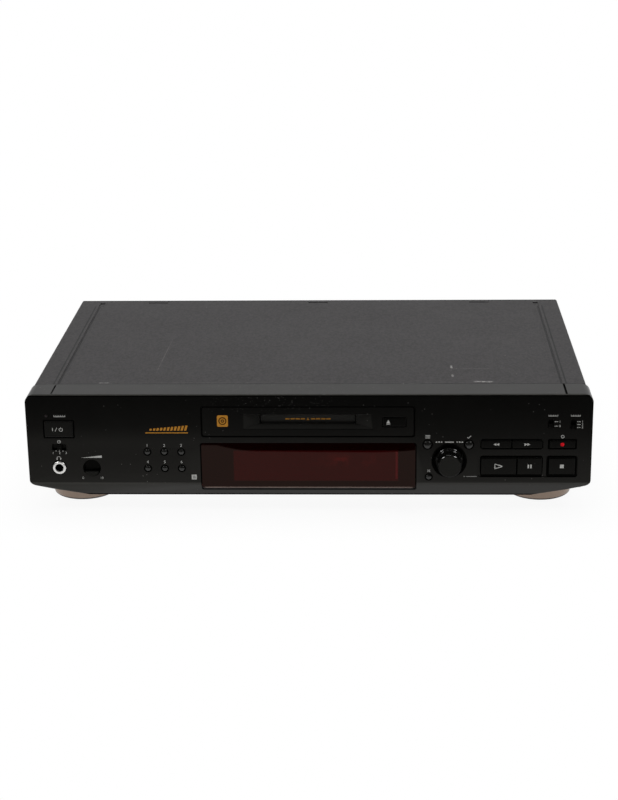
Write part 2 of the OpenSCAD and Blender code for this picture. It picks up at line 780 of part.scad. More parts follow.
module slot_panel() {
    pos = [0, slot_z - 1];
    ear_in = slot_w / 2 + 0.6;
    color(plastic_black) difference() {
        union() {
            front_slab(pos, slot_panel_w, slot_panel_h, 2, face_y, wall_y + eps);
            front_slab(pos, slot_panel_w + 3, slot_panel_h + 3, 2.5,
                       wall_y + seat_gap, wall_y + seat_gap + 1);
            front_slab(pos, slot_panel_w, slot_panel_h, 2, wall_y - eps, wall_y + seat_gap + eps);
            front_slab([0, slot_z - 0.4], slot_w + 8, slot_h + 8, 1,
                       wall_y, face_y + mouth_depth);
            // Ears that carry the flap's pin
            for (sx = [-1, 1])
                mirror([sx < 0 ? 1 : 0, 0, 0])
                    box([ear_in, ear_in + 1.8], [wall_y, flap_pivot[0] + 2.2],
                        [slot_z - 1, flap_pivot[1] + 2.2]);
        }
        mouth_funnel();
        front_slab([0, slot_z], slot_w, slot_h, 0.8, face_y - 1, face_y + mouth_depth + 1);
        front_slab(eject_pos, eject_w, eject_h, 0.8, face_y - 1, wall_y + 3);
        rod_along_x(-ear_in - 3, ear_in + 3, flap_pivot[0], flap_pivot[1], flap_pin_r + shaft_gap);
    }
}

module slot_flap() {
    color(plastic_black) {
        rod_along_x(-flap_half, flap_half, flap_pivot[0], flap_pivot[1], flap_r);
        rod_along_x(-flap_half - 2.6, flap_half + 2.6, flap_pivot[0], flap_pivot[1], flap_pin_r);
        front_slab([0, slot_z - 0.35 + 0.75], 2 * flap_half, slot_h + 1.7, 1,
                   flap_pivot[0] - flap_t / 2, flap_pivot[0] + flap_t / 2);
    }
}

module display_window() {
    bevel = 0.7;
    low = window_z - window_h / 2;
    top = window_z + window_h / 2;
    flange_z = [foot_h + chin_h + 3, top + 1.6];
    color(smoked_red) {
        intersection() {
            front_slab([0, window_z], window_w, window_h, 2, face_y, face_y + window_t);
            along_x(-window_w, window_w) polygon([
                [face_y, low + bevel], [face_y, top - bevel / 2], [face_y + bevel / 2, top],
                [face_y + window_t, top], [face_y + window_t, low], [face_y + bevel, low]
            ]);
        }
        difference() {
            box([-window_w / 2 - 1.6, window_w / 2 + 1.6],
                [wall_y + seat_gap, wall_y + seat_gap + 1.2], flange_z);
            box([-window_w / 2 + 2, window_w / 2 - 2], [wall_y - 1, wall_y + 3],
                [flange_z[0] - 1, top - 2]);
        }
    }
}

// ---- Buttons ----

// A rectangular cap with a bevelled front and round corners
module key_cap(x, z, w, h, r, proud, back) {
    bevel = 0.5;
    front = face_y - proud;
    intersection() {
        front_slab([x, z], w, h, r, front, back);
        along_x(x - w, x + w) polygon([
            [front, z - h / 2 + bevel], [front, z + h / 2 - bevel],
            [front + bevel, z + h / 2], [back, z + h / 2], [back, z - h / 2],
            [front + bevel, z - h / 2]
        ]);
        translate([0, 0, z - h]) linear_extrude(2 * h) polygon([
            [x - w / 2 + bevel, front], [x + w / 2 - bevel, front],
            [x + w / 2, front + bevel], [x + w / 2, back], [x - w / 2, back],
            [x - w / 2, front + bevel]
        ]);
    }
}

// Retaining flange behind the wall and plunger towards the switch
module key_stem(x, z, w, h, plunger_x) {
    box([x - w / 2, x + w / 2], [wall_y + seat_gap, wall_y + seat_gap + flange_t],
        [z - h / 2, z + h / 2]);
    rod_along_y([plunger_x, z], wall_y + seat_gap, plunger_end_y, 1.4);
}

// A key in an opening of its own
module single_key(pos, open_w, open_h, r, proud) {
    w = open_w - 2 * button_gap;
    h = open_h - 2 * button_gap;
    color(plastic_black) {
        key_cap(pos[0], pos[1], w, h, r, proud, wall_y + seat_gap + eps);
        key_stem(pos[0], pos[1], open_w + 2 * flange_out, open_h + 2 * flange_out, pos[0]);
    }
}

// One of two keys that share an opening, from its left edge to its right edge
module shared_key(x0, x1, z, open_h, proud) {
    h = open_h - 2 * button_gap;
    x = (x0 + x1) / 2;
    color(plastic_black) {
        key_cap(x, z, x1 - x0, h, 1, proud, wall_y + seat_gap + eps);
        key_stem(x, z, x1 - x0, open_h + 2 * flange_out, x);
    }
}

// A round button with a low dome
module round_key(pos, hole_d, proud) {
    r = hole_d / 2 - button_gap;
    back = panel_wall + seat_gap;
    color(plastic_black) {
        translate([pos[0], face_y, pos[1]]) rotate([-90, 0, 0]) rotate_extrude() polygon([
            [0, -proud], [r * 0.55, -proud + 0.05], [r * 0.86, -proud + 0.3], [r, -proud + 0.8],
            [r, back + eps], [0, back + eps]
        ]);
        rod_along_y(pos, wall_y + seat_gap, wall_y + seat_gap + flange_t, hole_d / 2 + flange_out);
        rod_along_y(pos, wall_y + seat_gap, plunger_end_y, 1.2);
    }
}

small_proud = 0.7;
menu_proud = 1.4;
upper_proud = 0.6;
power_proud = 0.8;

module power_button() single_key(power_pos, power_w, power_h, 0.8, power_proud);

module small_button(i) round_key(small_pos(i), small_d, small_proud);

module menu_button() round_key(menu_pos, menu_d, menu_proud);

module yes_button() round_key(yes_pos, menu_d, menu_proud);

module clear_button() round_key(clear_pos, clear_d, small_proud);

module rewind_button()
    shared_key(pair_x - pair_w / 2 + button_gap, upper_split_x - key_split / 2,
               upper_z, upper_h, upper_proud);

module forward_button()
    shared_key(upper_split_x + key_split / 2, pair_x + pair_w / 2 - button_gap,
               upper_z, upper_h, upper_proud);

module record_button() single_key([single_x, upper_z], single_w, upper_h, 1.3, upper_proud);

module play_button()
    shared_key(pair_x - pair_w / 2 + button_gap, lower_split_x - key_split / 2,
               lower_z, lower_h, lower_proud);

module pause_button()
    shared_key(lower_split_x + key_split / 2, pair_x + pair_w / 2 - button_gap,
               lower_z, lower_h, lower_proud);

module stop_button() single_key([single_x, lower_z], single_w, lower_h, 1.3, lower_proud);

module eject_button() {
    back = wall_y + seat_gap + 1 + seat_gap;
    w = eject_w - 2 * button_gap;
    h = eject_h - 2 * button_gap;
    color(plastic_black) {
        key_cap(eject_pos[0], eject_pos[1], w, h, 0.6, 0.4, back + eps);
        box([eject_pos[0] - eject_w / 2 - flange_out, eject_pos[0] + eject_w / 2 + flange_out],
            [back, back + flange_t],
            [eject_pos[1] - eject_h / 2 - flange_out, eject_pos[1] + eject_h / 2 + flange_out]);
        rod_along_y(eject_pos, back, plunger_end_y, 1.4);
    }
}

// ---- Slide switches ----

// A knob in a slot, with a plate behind the wall and a stem to the switch body
module slide_knob_piece(pos, knob_w, knob_h, plate_w, plate_h) {
    color(plastic_black) {
        for (i = [-1, 0, 1])
            box([pos[0] - knob_w / 2, pos[0] + knob_w / 2], [face_y - 0.5, face_y + 1],
                [pos[1] + i * knob_h / 3 - knob_h / 8, pos[1] + i * knob_h / 3 + knob_h / 8]);
        box([pos[0] - knob_w / 2, pos[0] + knob_w / 2], [face_y + 0.3, wall_y + seat_gap + eps],
            [pos[1] - knob_h / 2, pos[1] + knob_h / 2]);
        box([pos[0] - plate_w / 2, pos[0] + plate_w / 2],
            [wall_y + seat_gap, wall_y + seat_gap + 0.8],
            [pos[1] - plate_h / 2, pos[1] + plate_h / 2]);
        rod_along_y(pos, wall_y + seat_gap, board_y - 5.3, 1);
    }
}

module timer_switch() {
    knob_h = timer_h - 2 * button_gap;
    slide_knob_piece(timer_pos, timer_knob, knob_h, timer_w + 2 * timer_travel + 2, timer_h + 2);
}

mode_knob = [mode_pos[0], mode_pos[1] - mode_travel / 2];
input_knob = [input_pos[0], input_pos[1] - input_travel / 2];

module record_mode_switch()
    slide_knob_piece(mode_knob, upright_w - 2 * button_gap, slide_knob,
                     upright_w + 2, mode_h + mode_travel + 1);

module input_switch()
    slide_knob_piece(input_knob, upright_w - 2 * button_gap, slide_knob,
                     upright_w + 2, input_h + input_travel + 1);

// ---- Turning knobs, lens and headphone socket ----

module phone_level_knob() {
    r = level_d / 2 - button_gap;
    grip_z = level_pos[1] - r * 0.42;
    color(plastic_black) {
        rod_along_y(level_pos, face_y + 1.6, wall_y + 2.4, r);
        intersection() {
            rod_along_y(level_pos, face_y - 2.2, face_y + 1.7, r - 0.3);
            box([level_pos[0] - r, level_pos[0] + r], [face_y - 3, face_y + 2],
                [level_pos[1] - r, grip_z]);
        }
        rod_along_y(level_pos, wall_y + 2, board_y - 5 - seat_gap, 2.2);
    }
}

module jog_plunger() {
    color(white_plastic) difference() {
        rod_along_y(jog_pos, encoder_y - 1.2, board_y - 1.1, plunger_r);
        rod_along_y(jog_pos, encoder_y - 2, board_y, shaft_r + shaft_gap);
    }
}

module jog_knob() {
    r = jog_d / 2;
    skirt = jog_skirt_d / 2;
    bevel = 0.9;
    color(plastic_black) {
        translate([jog_pos[0], face_y, jog_pos[1]]) rotate([-90, 0, 0]) rotate_extrude($fn = 96)
            polygon([
                [0, -knob_reach], [r - bevel, -knob_reach], [r, -knob_reach + bevel],
                [r, -1.2], [skirt - 0.6, -0.9], [skirt, -0.3], [skirt, 4.6], [0, 4.6]
            ]);
        rod_along_y(jog_pos, face_y + 4.5, encoder_y - 1.3, shaft_r + 0.6);
        rod_along_y(jog_pos, encoder_y - 1.5, board_y - 2, shaft_r);
    }
}

module standby_lens() {
    color([0.6, 0.1, 0.08]) {
        rod_along_y(standby_pos, face_y - 0.1, wall_y + 1, standby_d / 2);
        rod_along_y(standby_pos, wall_y + seat_gap, board_y - seat_gap, standby_d / 2 + 0.7);
    }
}

jack_length = 32;

module headphone_jack() {
    r = phones_ring_d / 2;
    color(steel) difference() {
        union() {
            translate([phones_pos[0], face_y - 0.6, phones_pos[1]]) rotate([-90, 0, 0])
                rotate_extrude($fn = 96) polygon([
                    [0, 0], [r - 0.5, 0], [r, 0.5], [r, panel_wall + 0.8],
                    [0, panel_wall + 0.8]
                ]);
            box([phones_pos[0] - 7, phones_pos[0] + 7],
                [wall_y + seat_gap, face_y + jack_length],
                [phones_pos[1] - 7, phones_pos[1] + 7]);
        }
        rod_along_y(phones_pos, face_y - 2, face_y + jack_length - 2, phones_hole_d / 2);
    }
}

// ---- Front board and display tube ----

push_places = concat(
    [power_pos, menu_pos, yes_pos, clear_pos, eject_pos],
    [for (i = [0 : 5]) small_pos(i)],
    [
        [(pair_x - pair_w / 2 + button_gap + upper_split_x - key_split / 2) / 2, upper_z],
        [(pair_x + pair_w / 2 - button_gap + upper_split_x + key_split / 2) / 2, upper_z],
        [single_x, upper_z],
        [(pair_x - pair_w / 2 + button_gap + lower_split_x - key_split / 2) / 2, lower_z],
        [(pair_x + pair_w / 2 - button_gap + lower_split_x + key_split / 2) / 2, lower_z],
        [single_x, lower_z]
    ]
);
board_low_z = foot_h + 5;

module front_board() {
    board = [board_y, board_y + board_t];
    color(board_green) difference() {
        box([-half_w + 6, half_w - 6], board, [board_low_z, deck_h - 6]);
        box([-slot_w / 2 - 12, slot_w / 2 + 12], [board_y - 1, board_y + 3],
            [window_z + window_h / 2 + 1, deck_h]);
        box([phones_pos[0] - 8, phones_pos[0] + 8], [board_y - 1, board_y + 3],
            [phones_pos[1] - 8, phones_pos[1] + 8]);
        for (p = boss_places) rod_along_y(p, board_y - 1, board_y + 3, pilot_r + 0.2);
        rod_along_y(jog_pos, board_y - 1, board_y + 3, shaft_r);
        for (sx = [-1, 1])
            mirror([sx < 0 ? 1 : 0, 0, 0])
                box([half_w - 50, half_w], [board_y - 1, board_y + 3], [0, foot_h + 13]);
    }
    // Tactile switches
    color(grey_plastic) for (p = push_places) {
        box([p[0] - 3, p[0] + 3], [board_y - 3.5, board_y + eps], [p[1] - 3, p[1] + 3]);
        rod_along_y(p, switch_top_y, board_y - 3.4, 1.6);
    }
    // Slide switch bodies, level control and encoder
    color(steel) {
        box([timer_pos[0] - 8, timer_pos[0] + 8], [board_y - 5, board_y + eps],
            [timer_pos[1] - 3, timer_pos[1] + 3]);
        for (p = [mode_pos, input_pos])
            box([p[0] - 3, p[0] + 3], [board_y - 5, board_y + eps], [p[1] - 7, p[1] + 7]);
        box([level_pos[0] - 6, level_pos[0] + 6], [board_y - 5, board_y + eps],
            [level_pos[1] - 6, level_pos[1] + 6]);
        difference() {
            box([jog_pos[0] - 6.5, jog_pos[0] + 6.5], [encoder_y, board_y + eps],
                [jog_pos[1] - 6.5, jog_pos[1] + 6.5]);
            rod_along_y(jog_pos, encoder_y - 1, board_y, encoder_bore_r);
        }
    }
    // Socket for the flat cable
    color(white_plastic)
        box([main_board_x[0] + 12, main_board_x[0] + 42], [board[1] - eps, board[1] + 6],
            [board_low_z + 1, board_low_z + 6]);
}

tube_x = 6;
tube_t = 7;
tube_y = [board_y - 1 - tube_t, board_y - 1];

module display_tube() {
    z = window_z;
    color([0.35, 0.4, 0.42]) {
        box([tube_x - tube_w / 2, tube_x + tube_w / 2], tube_y, [z - tube_h / 2, z + tube_h / 2]);
        rod_along_x(tube_x + tube_w / 2 - eps, tube_x + tube_w / 2 + 4, tube_y[0] + tube_t / 2,
                    z + tube_h / 4, 1.5);
    }
    // Lead-out pins down to the board
    color(steel) for (i = [0 : 23]) {
        x = tube_x - tube_w / 2 + 8 + i * (tube_w - 16) / 23;
        box([x - 0.3, x + 0.3], [tube_y[1] - 1.2, board_y - seat_gap],
            [z - tube_h / 2 - 1.6, z - tube_h / 2 + 0.5]);
    }
}

// ---- Boards, transformer and power supply ----

// A chip on a board
module chip(x, y, z, w, d, h) box([x - w / 2, x + w / 2], [y - d / 2, y + d / 2], [z - eps, z + h]);

module main_board() {
    z = deck_board_z + board_t;
    color(board_green) difference() {
        union() {
            box(main_board_x, main_board_y, [deck_board_z, z]);
            box([wing_x, main_board_x[0] + 1], [wing_y, main_board_y[1]], [deck_board_z, z]);
        }
        for (p = standoffs) rod_along_z(p[0], p[1], deck_board_z - 1, z + 1, pilot_r + 0.2);
    }
    mid_x = (main_board_x[0] + main_board_x[1]) / 2;
    color(rubber_black) {
        chip(mid_x - 10, -10, z, 24, 24, 2.6);
        chip(mid_x - 12, 32, z, 18, 18, 2.4);
        chip(mid_x + 26, 20, z, 12, 20, 2.2);
        chip(mid_x + 30, -34, z, 10, 16, 2.2);
        chip(mid_x + 8, 66, z, 10, 22, 3.2);
    }
    color(grey_plastic) for (i = [0 : 3], j = [0, 1])
        rod_along_z(mid_x + 4 + i * 13, 88 + j * 14 - 6, z - eps, z + 12, 4);
    color(white_plastic) {
        box([main_board_x[0] + 12, main_board_x[0] + 42], [main_board_y[0] + 3, main_board_y[0] + 9],
            [z - eps, z + 6]);
        box([main_board_x[0] + 3, main_board_x[0] + 9], [40, 66], [z - eps, z + 5]);
    }
}

module power_board() {
    z = deck_board_z + board_t;
    mid_x = (power_board_x[0] + power_board_x[1]) / 2;
    mid_y = (power_board_y[0] + power_board_y[1]) / 2;
    color([0.66, 0.5, 0.3]) difference() {
        box(power_board_x, power_board_y, [deck_board_z, z]);
        for (p = standoffs) rod_along_z(p[0], p[1], deck_board_z - 1, z + 1, pilot_r + 0.2);
    }
    color(rubber_black) {
        for (i = [-1, 1]) rod_along_z(mid_x + i * 14, mid_y + 22, z - eps, z + 32, 10);
        for (i = [-1, 0, 1]) rod_along_z(mid_x - 30, mid_y + i * 16, z - eps, z + 16, 5);
        chip(mid_x + 34, mid_y - 30, z, 14, 20, 14);
    }
    // Heat sink with fins
    color(zinc) {
        box([mid_x - 16, mid_x + 24], [mid_y - 14, mid_y - 11], [z - eps, z + 34]);
        for (i = [0 : 6])
            box([mid_x - 16 + i * 6.3, mid_x - 14 + i * 6.3], [mid_y - 26, mid_y - 13],
                [z + 3, z + 34]);
    }
    color(rubber_black) for (i = [0, 1, 2])
        box([mid_x - 12 + i * 13, mid_x - 2 + i * 13], [mid_y - 11 - eps, mid_y - 6.5],
            [z + 12, z + 28]);
}

module transformer() {
    x = transformer_pos[0];
    y = transformer_pos[1];
    core = [62, 24, 52];
    z = floor_z + seat_gap;
    color([0.28, 0.28, 0.3]) difference() {
        box([x - core[0] / 2, x + core[0] / 2], [y - core[1] / 2, y + core[1] / 2],
            [z + 2, z + core[2]]);
        for (sx = [-1, 1])
            mirror([0, 0, 0])
                box([x + sx * 15 - 5, x + sx * 15 + 5], [y - 20, y + 20], [z + 13, z + 41]);
    }
    // Bobbin and windings
    color(copper) {
        box([x - 19.8, x + 19.8], [y - 24, y - core[1] / 2 + eps], [z + 13.2, z + 40.8]);
        box([x - 19.8, x + 19.8], [y + core[1] / 2 - eps, y + 24], [z + 13.2, z + 40.8]);
        for (sx = [-1, 1])
            box([x + sx * 15 - 4.8, x + sx * 15 + 4.8], [y - 13, y + 13], [z + 13.2, z + 40.8]);
    }
    // Clamp frame with its four feet
    color(zinc) difference() {
        box([x - 45, x + 45], [y - 24, y + 24], [z, z + 2.1]);
        for (p = transformer_feet) rod_along_z(p[0], p[1], z - 1, z + 3, pilot_r + 0.2);
    }
}

module inner_screws() {
    head = [2.6, 1.4];
    color(brass) {
        for (p = boss_places)
            translate([p[0], board_y + board_t, p[1]]) rotate([90, 0, 0])
                screw(8, inner_screw_r, head[0], head[1]);
        for (p = standoffs)
            translate([p[0], p[1], deck_board_z + board_t]) mirror([0, 0, 1])
                screw(6, inner_screw_r, head[0], head[1]);
        for (p = bracket_feet)
            translate([p[0], p[1], floor_z + seat_gap + 1.5]) mirror([0, 0, 1])
                screw(2.4, inner_screw_r, head[0], head[1]);
        for (p = transformer_feet)
            translate([p[0], p[1], floor_z + seat_gap + 2.1]) mirror([0, 0, 1])
                screw(3, inner_screw_r, head[0], head[1]);
        for (p = damper_places)
            translate([p[0], p[1], frame_floor_z]) mirror([0, 0, 1])
                screw(7, inner_screw_r, head[0], head[1]);
    }
}

// ---- Mechanism ----

damper_places = [
    for (x = [frame_left_x + 11, frame_right_x - 5], y = [frame_front_y + 22, frame_rear_y - 10])
        [x, y]
];

module mechanism_bracket() {
    t = 1.5;
    low = floor_z + seat_gap;
    color(zinc) difference() {
        union() {
            for (sx = [-1, 1]) {
                edge = sx < 0 ? frame_left_x : frame_right_x;
                web = [min(edge, edge + sx * t), max(edge, edge + sx * t)];
                foot = [min(edge, edge + sx * 11), max(edge, edge + sx * 11)];
                shelf = [min(edge + sx * t, edge - sx * 16), max(edge + sx * t, edge - sx * 16)];
                box(web, bracket_y, [low, bracket_top_z]);
                box(foot, bracket_y, [low, low + t]);
                box(shelf, bracket_y, [bracket_top_z - t, bracket_top_z]);
            }
        }
        for (p = bracket_feet) rod_along_z(p[0], p[1], low - 1, low + 3, pilot_r + 0.2);
        for (p = damper_places)
            rod_along_z(p[0], p[1], bracket_top_z - 3, bracket_top_z + 1, pilot_r);
    }
}

module mechanism_dampers() {
    color(rubber_black) for (p = damper_places)
        translate([p[0], p[1], bracket_top_z]) rotate_extrude() polygon([
            [1.4, 0], [4, 0], [4, 1.3], [3.1, 1.6], [3.1, damper_h - 1.6], [4, damper_h - 1.3],
            [4, damper_h], [1.4, damper_h]
        ]);
}

module mechanism_frame() {
    guide_h = sink + 2 * pin_r + 2 * pin_gap;
    guide_top = slot_z + pin_r + pin_gap;
    color(grey_plastic) difference() {
        union() {
            box([frame_left_x, frame_right_x], [frame_front_y, frame_rear_y],
                [frame_z, frame_floor_z]);
            box([frame_left_x, frame_left_x + frame_t], [frame_front_y, frame_rear_y],
                [frame_z, frame_wall_top]);
            box([frame_right_x - frame_t, frame_right_x], [frame_front_y, frame_rear_y],
                [frame_z, frame_wall_top]);
            box([frame_left_x, frame_right_x], [frame_rear_y - frame_t, frame_rear_y],
                [frame_z, frame_wall_top - 12]);
            // Blocks that hold the guide rods and the end of the lead screw
            for (y = rod_y) {
                box(rod_block_x, [y - 4, y + 4], [frame_floor_z - eps, sled_low_z + sled_h]);
                box([rod_end_x, rod_end_x + 2], [y - 4, y + 4],
                    [frame_floor_z - eps, sled_low_z + sled_h]);
            }
            box([rod_end_x, rod_end_x + 2], [screw_y - 4, screw_y + 4],
                [frame_floor_z - eps, screw_z + 3]);
            // Post that the loading gear turns on
            rod_along_z(gear_x, gear_y, frame_floor_z - eps, gear_z + gear_h + 0.8, 1.2);
            rod_along_z(gear_x, gear_y, frame_floor_z - eps, gear_z - 0.2, 2.4);
            // Slotted posts that guide the holder's right-hand pins
            for (y = post_pin_y)
                box(post_x, [y - 3.2, y + 3.2], [frame_floor_z - eps, guide_top + 2.5]);
            // Rail that guides the loading cam's foot
            box([cam_x - cam_t - 1.4, cam_x - cam_t - 0.2], [frame_front_y + 4, frame_rear_y - 4],
                [frame_floor_z - eps, cam_low_z + 2]);
        }
        for (y = cam_pin_y)
            box([frame_left_x - 1, frame_left_x + frame_t + 1],
                [y - pin_r - pin_gap, y + pin_r + pin_gap], [guide_top - guide_h, guide_top]);
        for (y = post_pin_y)
            box([post_x[0] - 1, post_x[1] + 1],
                [y - pin_r - pin_gap, y + pin_r + pin_gap], [guide_top - guide_h, guide_top]);
        for (p = damper_places)
            rod_along_z(p[0], p[1], frame_z - 1, frame_floor_z + 1, pilot_r + 0.2);
        rod_along_z(pinion_x, gear_y, frame_z - 1, frame_floor_z + 1, 1.6);
        rod_along_x(rod_end_x - 1, rod_end_x + 3, screw_y, screw_z, 0.8 + shaft_gap);
    }
}

module cartridge_holder() {
    rail = 4;
    top = [bay_top_z, holder_top_z];
    y = [bay_front_y, bay_rear_y];
    notch = [disc_y - arm_w / 2 - 4, disc_y + arm_w / 2 + 4];
    color(steel) difference() {
        union() {
            box([-holder_out_x, holder_out_x], y, top);
            box([-holder_out_x, holder_out_x], [bay_rear_y, bay_rear_y + holder_t],
                [bay_low_z + 2, holder_top_z]);
            for (sx = [-1, 1])
                mirror([sx < 0 ? 1 : 0, 0, 0]) {
                    box([bay_x, holder_out_x], y, [holder_low_z, holder_top_z]);
                    box([holder_out_x - rail, holder_out_x], y, [holder_low_z, bay_low_z]);
                }
            for (yp = cam_pin_y)
                rod_along_x(frame_left_x + 0.3, -bay_x - holder_t / 2, yp, slot_z, pin_r);
            for (yp = post_pin_y)
                rod_along_x(bay_x + holder_t / 2, post_x[1] - 0.2, yp, slot_z, pin_r);
        }
        // Notch for the recording head's arm, and a window over the disc's hub
        box([turntable_d / 2, holder_out_x + 1], notch, [bay_low_z + 1.5, holder_top_z + 1]);
        rod_along_z(0, disc_y, bay_top_z - 1, holder_top_z + 1, 7);
    }
}

module load_cam() {
    y0 = cam_pin_y[0] - cam_travel - 6;
    y1 = gear_y + gear_r + 6;
    run = cam_travel + 0.4;
    slope = atan2(sink, cam_travel);
    slot_r = pin_r + pin_gap;
    rack_low = gear_z + 0.3;
    pitch = PI * gear_module;
    teeth = ceil(cam_travel / pitch) + 5;
    color(white_plastic) difference() {
        union() {
            box([cam_x - cam_t, cam_x], [y0, cam_pin_y[1] + 8],
                [cam_low_z, slot_z + 5]);
            box([cam_x - cam_t, cam_x], [cam_pin_y[1], y1], [cam_low_z, gear_z + gear_h + 2]);
            box([cam_x - eps, rack_x - gear_module * 1.1],
                [gear_y - cam_travel - 8, y1], [rack_low, gear_z + gear_h - 0.3]);
            // Rack teeth, with a gap facing the gear at rest
            for (i = [0 : teeth - 1]) {
                y = gear_y + (1.5 - i) * pitch + 2 * pitch;
                if (y < y1 - 0.6)
                    translate([0, 0, rack_low]) linear_extrude(gear_h - 0.6) polygon([
                        [rack_x - gear_module * 1.15, y - pitch * 0.3],
                        [rack_x + gear_module * 0.7, y - pitch * 0.12],
                        [rack_x + gear_module * 0.7, y + pitch * 0.12],
                        [rack_x - gear_module * 1.15, y + pitch * 0.3]
                    ]);
            }
        }
        // Sloping slots that lower the holder's pins as the cam slides back
        for (yp = cam_pin_y)
            translate([cam_x - cam_t - 1, yp, slot_z]) rotate([slope, 0, 0])
                along_x(0, cam_t + 2) {
                    length = norm([run, run * sink / cam_travel]);
                    translate([-length, -slot_r]) square([length, 2 * slot_r]);
                    for (a = [0, -length]) translate([a, 0]) circle(slot_r);
                }
    }
}

// A spur gear's outline, with a tooth on its +X side when shift is 0
module gear_outline(teeth, r, shift) {
    pitch_angle = 360 / teeth;
    circle(r - gear_module * 1.15);
    for (i = [0 : teeth - 1])
        rotate(shift + i * pitch_angle) polygon([
            [r - gear_module * 1.4, -r * sin(pitch_angle * 0.3)],
            [r + gear_module * 0.7, -r * sin(pitch_angle * 0.12)],
            [r + gear_module * 0.7, r * sin(pitch_angle * 0.12)],
            [r - gear_module * 1.4, r * sin(pitch_angle * 0.3)]
        ]);
}

module load_gear() {
    color(white_plastic) translate([gear_x, gear_y, gear_z]) difference() {
        linear_extrude(gear_h) gear_outline(gear_teeth, gear_r, 0);
        translate([0, 0, -1]) cylinder(h = gear_h + 2, r = 1.2 + shaft_gap);
    }
}

module load_pinion() {
    color(brass) translate([pinion_x, gear_y, gear_z]) difference() {
        linear_extrude(gear_h) gear_outline(pinion_teeth, pinion_r, 180 / pinion_teeth);
        translate([0, 0, -1]) cylinder(h = gear_h + 2, r = 0.75 + shaft_gap);
    }
}

module drive_motors() {
    color(steel) {
        // Loading motor, hung under the frame, with its shaft up through the pinion
        rod_along_z(pinion_x, gear_y, frame_z - 14, frame_z - seat_gap, 6);
        rod_along_z(pinion_x, gear_y, frame_z - 1, gear_z + gear_h + 0.6, 0.75);
        // Pickup motor, on the frame's floor in line with the lead screw
        rod_along_x(rod_block_x[0] - 19, rod_block_x[0] - 1, screw_y, screw_z, motor_r);
        rod_along_x(rod_block_x[0] - 1.5, rod_block_x[0] + 0.4, screw_y, screw_z, 1.6);
    }
}

spindle_top_z = sled_low_z + 3.5;

module spindle_motor() {
    color(zinc) {
        rod_along_z(0, disc_y, frame_floor_z + seat_gap, spindle_top_z - 0.3, turntable_d / 2 - 0.4);
        rod_along_z(0, disc_y, spindle_top_z - 1, spindle_top_z + 4, 1);
    }
}

module turntable() {
    r = turntable_d / 2;
    color(rubber_black) translate([0, disc_y, spindle_top_z]) rotate_extrude() polygon([
        [1 + shaft_gap, 0], [r, 0], [r, 1.2], [r - 0.5, 1.6], [5, 1.6], [4.6, 3.6], [3.6, 5],
        [1 + shaft_gap, 5]
    ]);
}

module optical_pickup() {
    z = [sled_low_z, sled_low_z + sled_h];
    x = [sled_in_x, sled_in_x + sled_w];
    lens_x = sled_in_x + 3.5;
    color(zinc) difference() {
        union() {
            box(x, [rod_y[0] - 4, rod_y[1] + 4], z);
            box([x[0] + 2, x[0] + 8], [rod_y[1] + 3.9, screw_y + 3.6], [z[0], z[1] + 1]);
            // Bracket that carries the recording head's arm past the cartridge
            box([x[1] - eps, upright_x[1]], [disc_y - 6, disc_y + 6], [z[0], z[0] + 2.5]);
            for (sy = [-1, 1])
                box(upright_x, [disc_y + sy * 5.1 - 0.9, disc_y + sy * 5.1 + 0.9],
                    [z[0], arm_pivot_z + 1.4]);
        }
        for (y = rod_y) rod_along_x(x[0] - 1, x[1] + 1, y, rod_z, rod_r + shaft_gap);
        rod_along_x(x[0], x[0] + 9, screw_y, screw_z, screw_r + 0.25);
        rod_along_y([arm_pivot_x, arm_pivot_z], disc_y - 7, disc_y + 7, 0.7 + shaft_gap);
    }
    color([0.3, 0.4, 0.6]) {
        rod_along_z(lens_x, disc_y, z[1] - eps, z[1] + 0.5, 3);
        rod_along_z(lens_x, disc_y, z[1] + 0.4, z[1] + 0.9, 2);
    }
}

module guide_rods() {
    color(steel) for (y = rod_y)
        rod_along_x(rod_block_x[1] + 0.05, rod_end_x - 0.05, y, rod_z, rod_r);
}

module lead_screw() {
    x0 = rod_block_x[0] + 0.6;
    turns = floor((rod_end_x - x0 - 2) / 2);
    color(brass) {
        rod_along_x(x0, rod_end_x - 0.3, screw_y, screw_z, screw_r - 0.3);
        rod_along_x(rod_end_x - 0.5, rod_end_x + 1.8, screw_y, screw_z, 0.8);
        for (i = [0 : turns - 1])
            rod_along_x(x0 + 1 + 2 * i, x0 + 2 + 2 * i, screw_y, screw_z, screw_r);
    }
}

module record_head_arm() {
    tip_x = sled_in_x + 1;
    color(steel) {
        rod_along_y([arm_pivot_x, arm_pivot_z], disc_y - 6.4, disc_y + 6.4, 0.7);
        rod_along_y([arm_pivot_x, arm_pivot_z], disc_y - 4, disc_y + 4, 1.2);
        box([tip_x, arm_pivot_x], [disc_y - arm_w / 2, disc_y + arm_w / 2],
            [arm_pivot_z - 0.5, arm_pivot_z + 0.5]);
        box([tip_x, tip_x + 5], [disc_y - 2.5, disc_y + 2.5],
            [arm_pivot_z - 1.7, arm_pivot_z - 0.4]);
    }
}

// ---- Rear sockets and cables ----

module phono_sockets() {
    r = phono_d / 2;
    color(brass) difference() {
        union() {
            for (p = phono_places) {
                rod_along_y(p, rear_y - 1, rear_y + socket_reach, r);
                rod_along_y(p, rear_y - 3, rear_y + 0.8, r + 1);
            }
            box([analog_x - phono_pitch - 8, analog_x + 8],
                [rear_y - 13, rear_y - sheet_t - seat_gap],
                [deck_board_z + board_t + seat_gap, socket_z + phono_pitch + 8]);
            box([coax_x - 7, coax_x + 7], [rear_y - 13, rear_y - sheet_t - seat_gap],
                [deck_board_z + board_t + seat_gap, socket_z + 7]);
        }
        for (p = phono_places) rod_along_y(p, rear_y - 2, rear_y + socket_reach + 1, 1.7);
    }
}

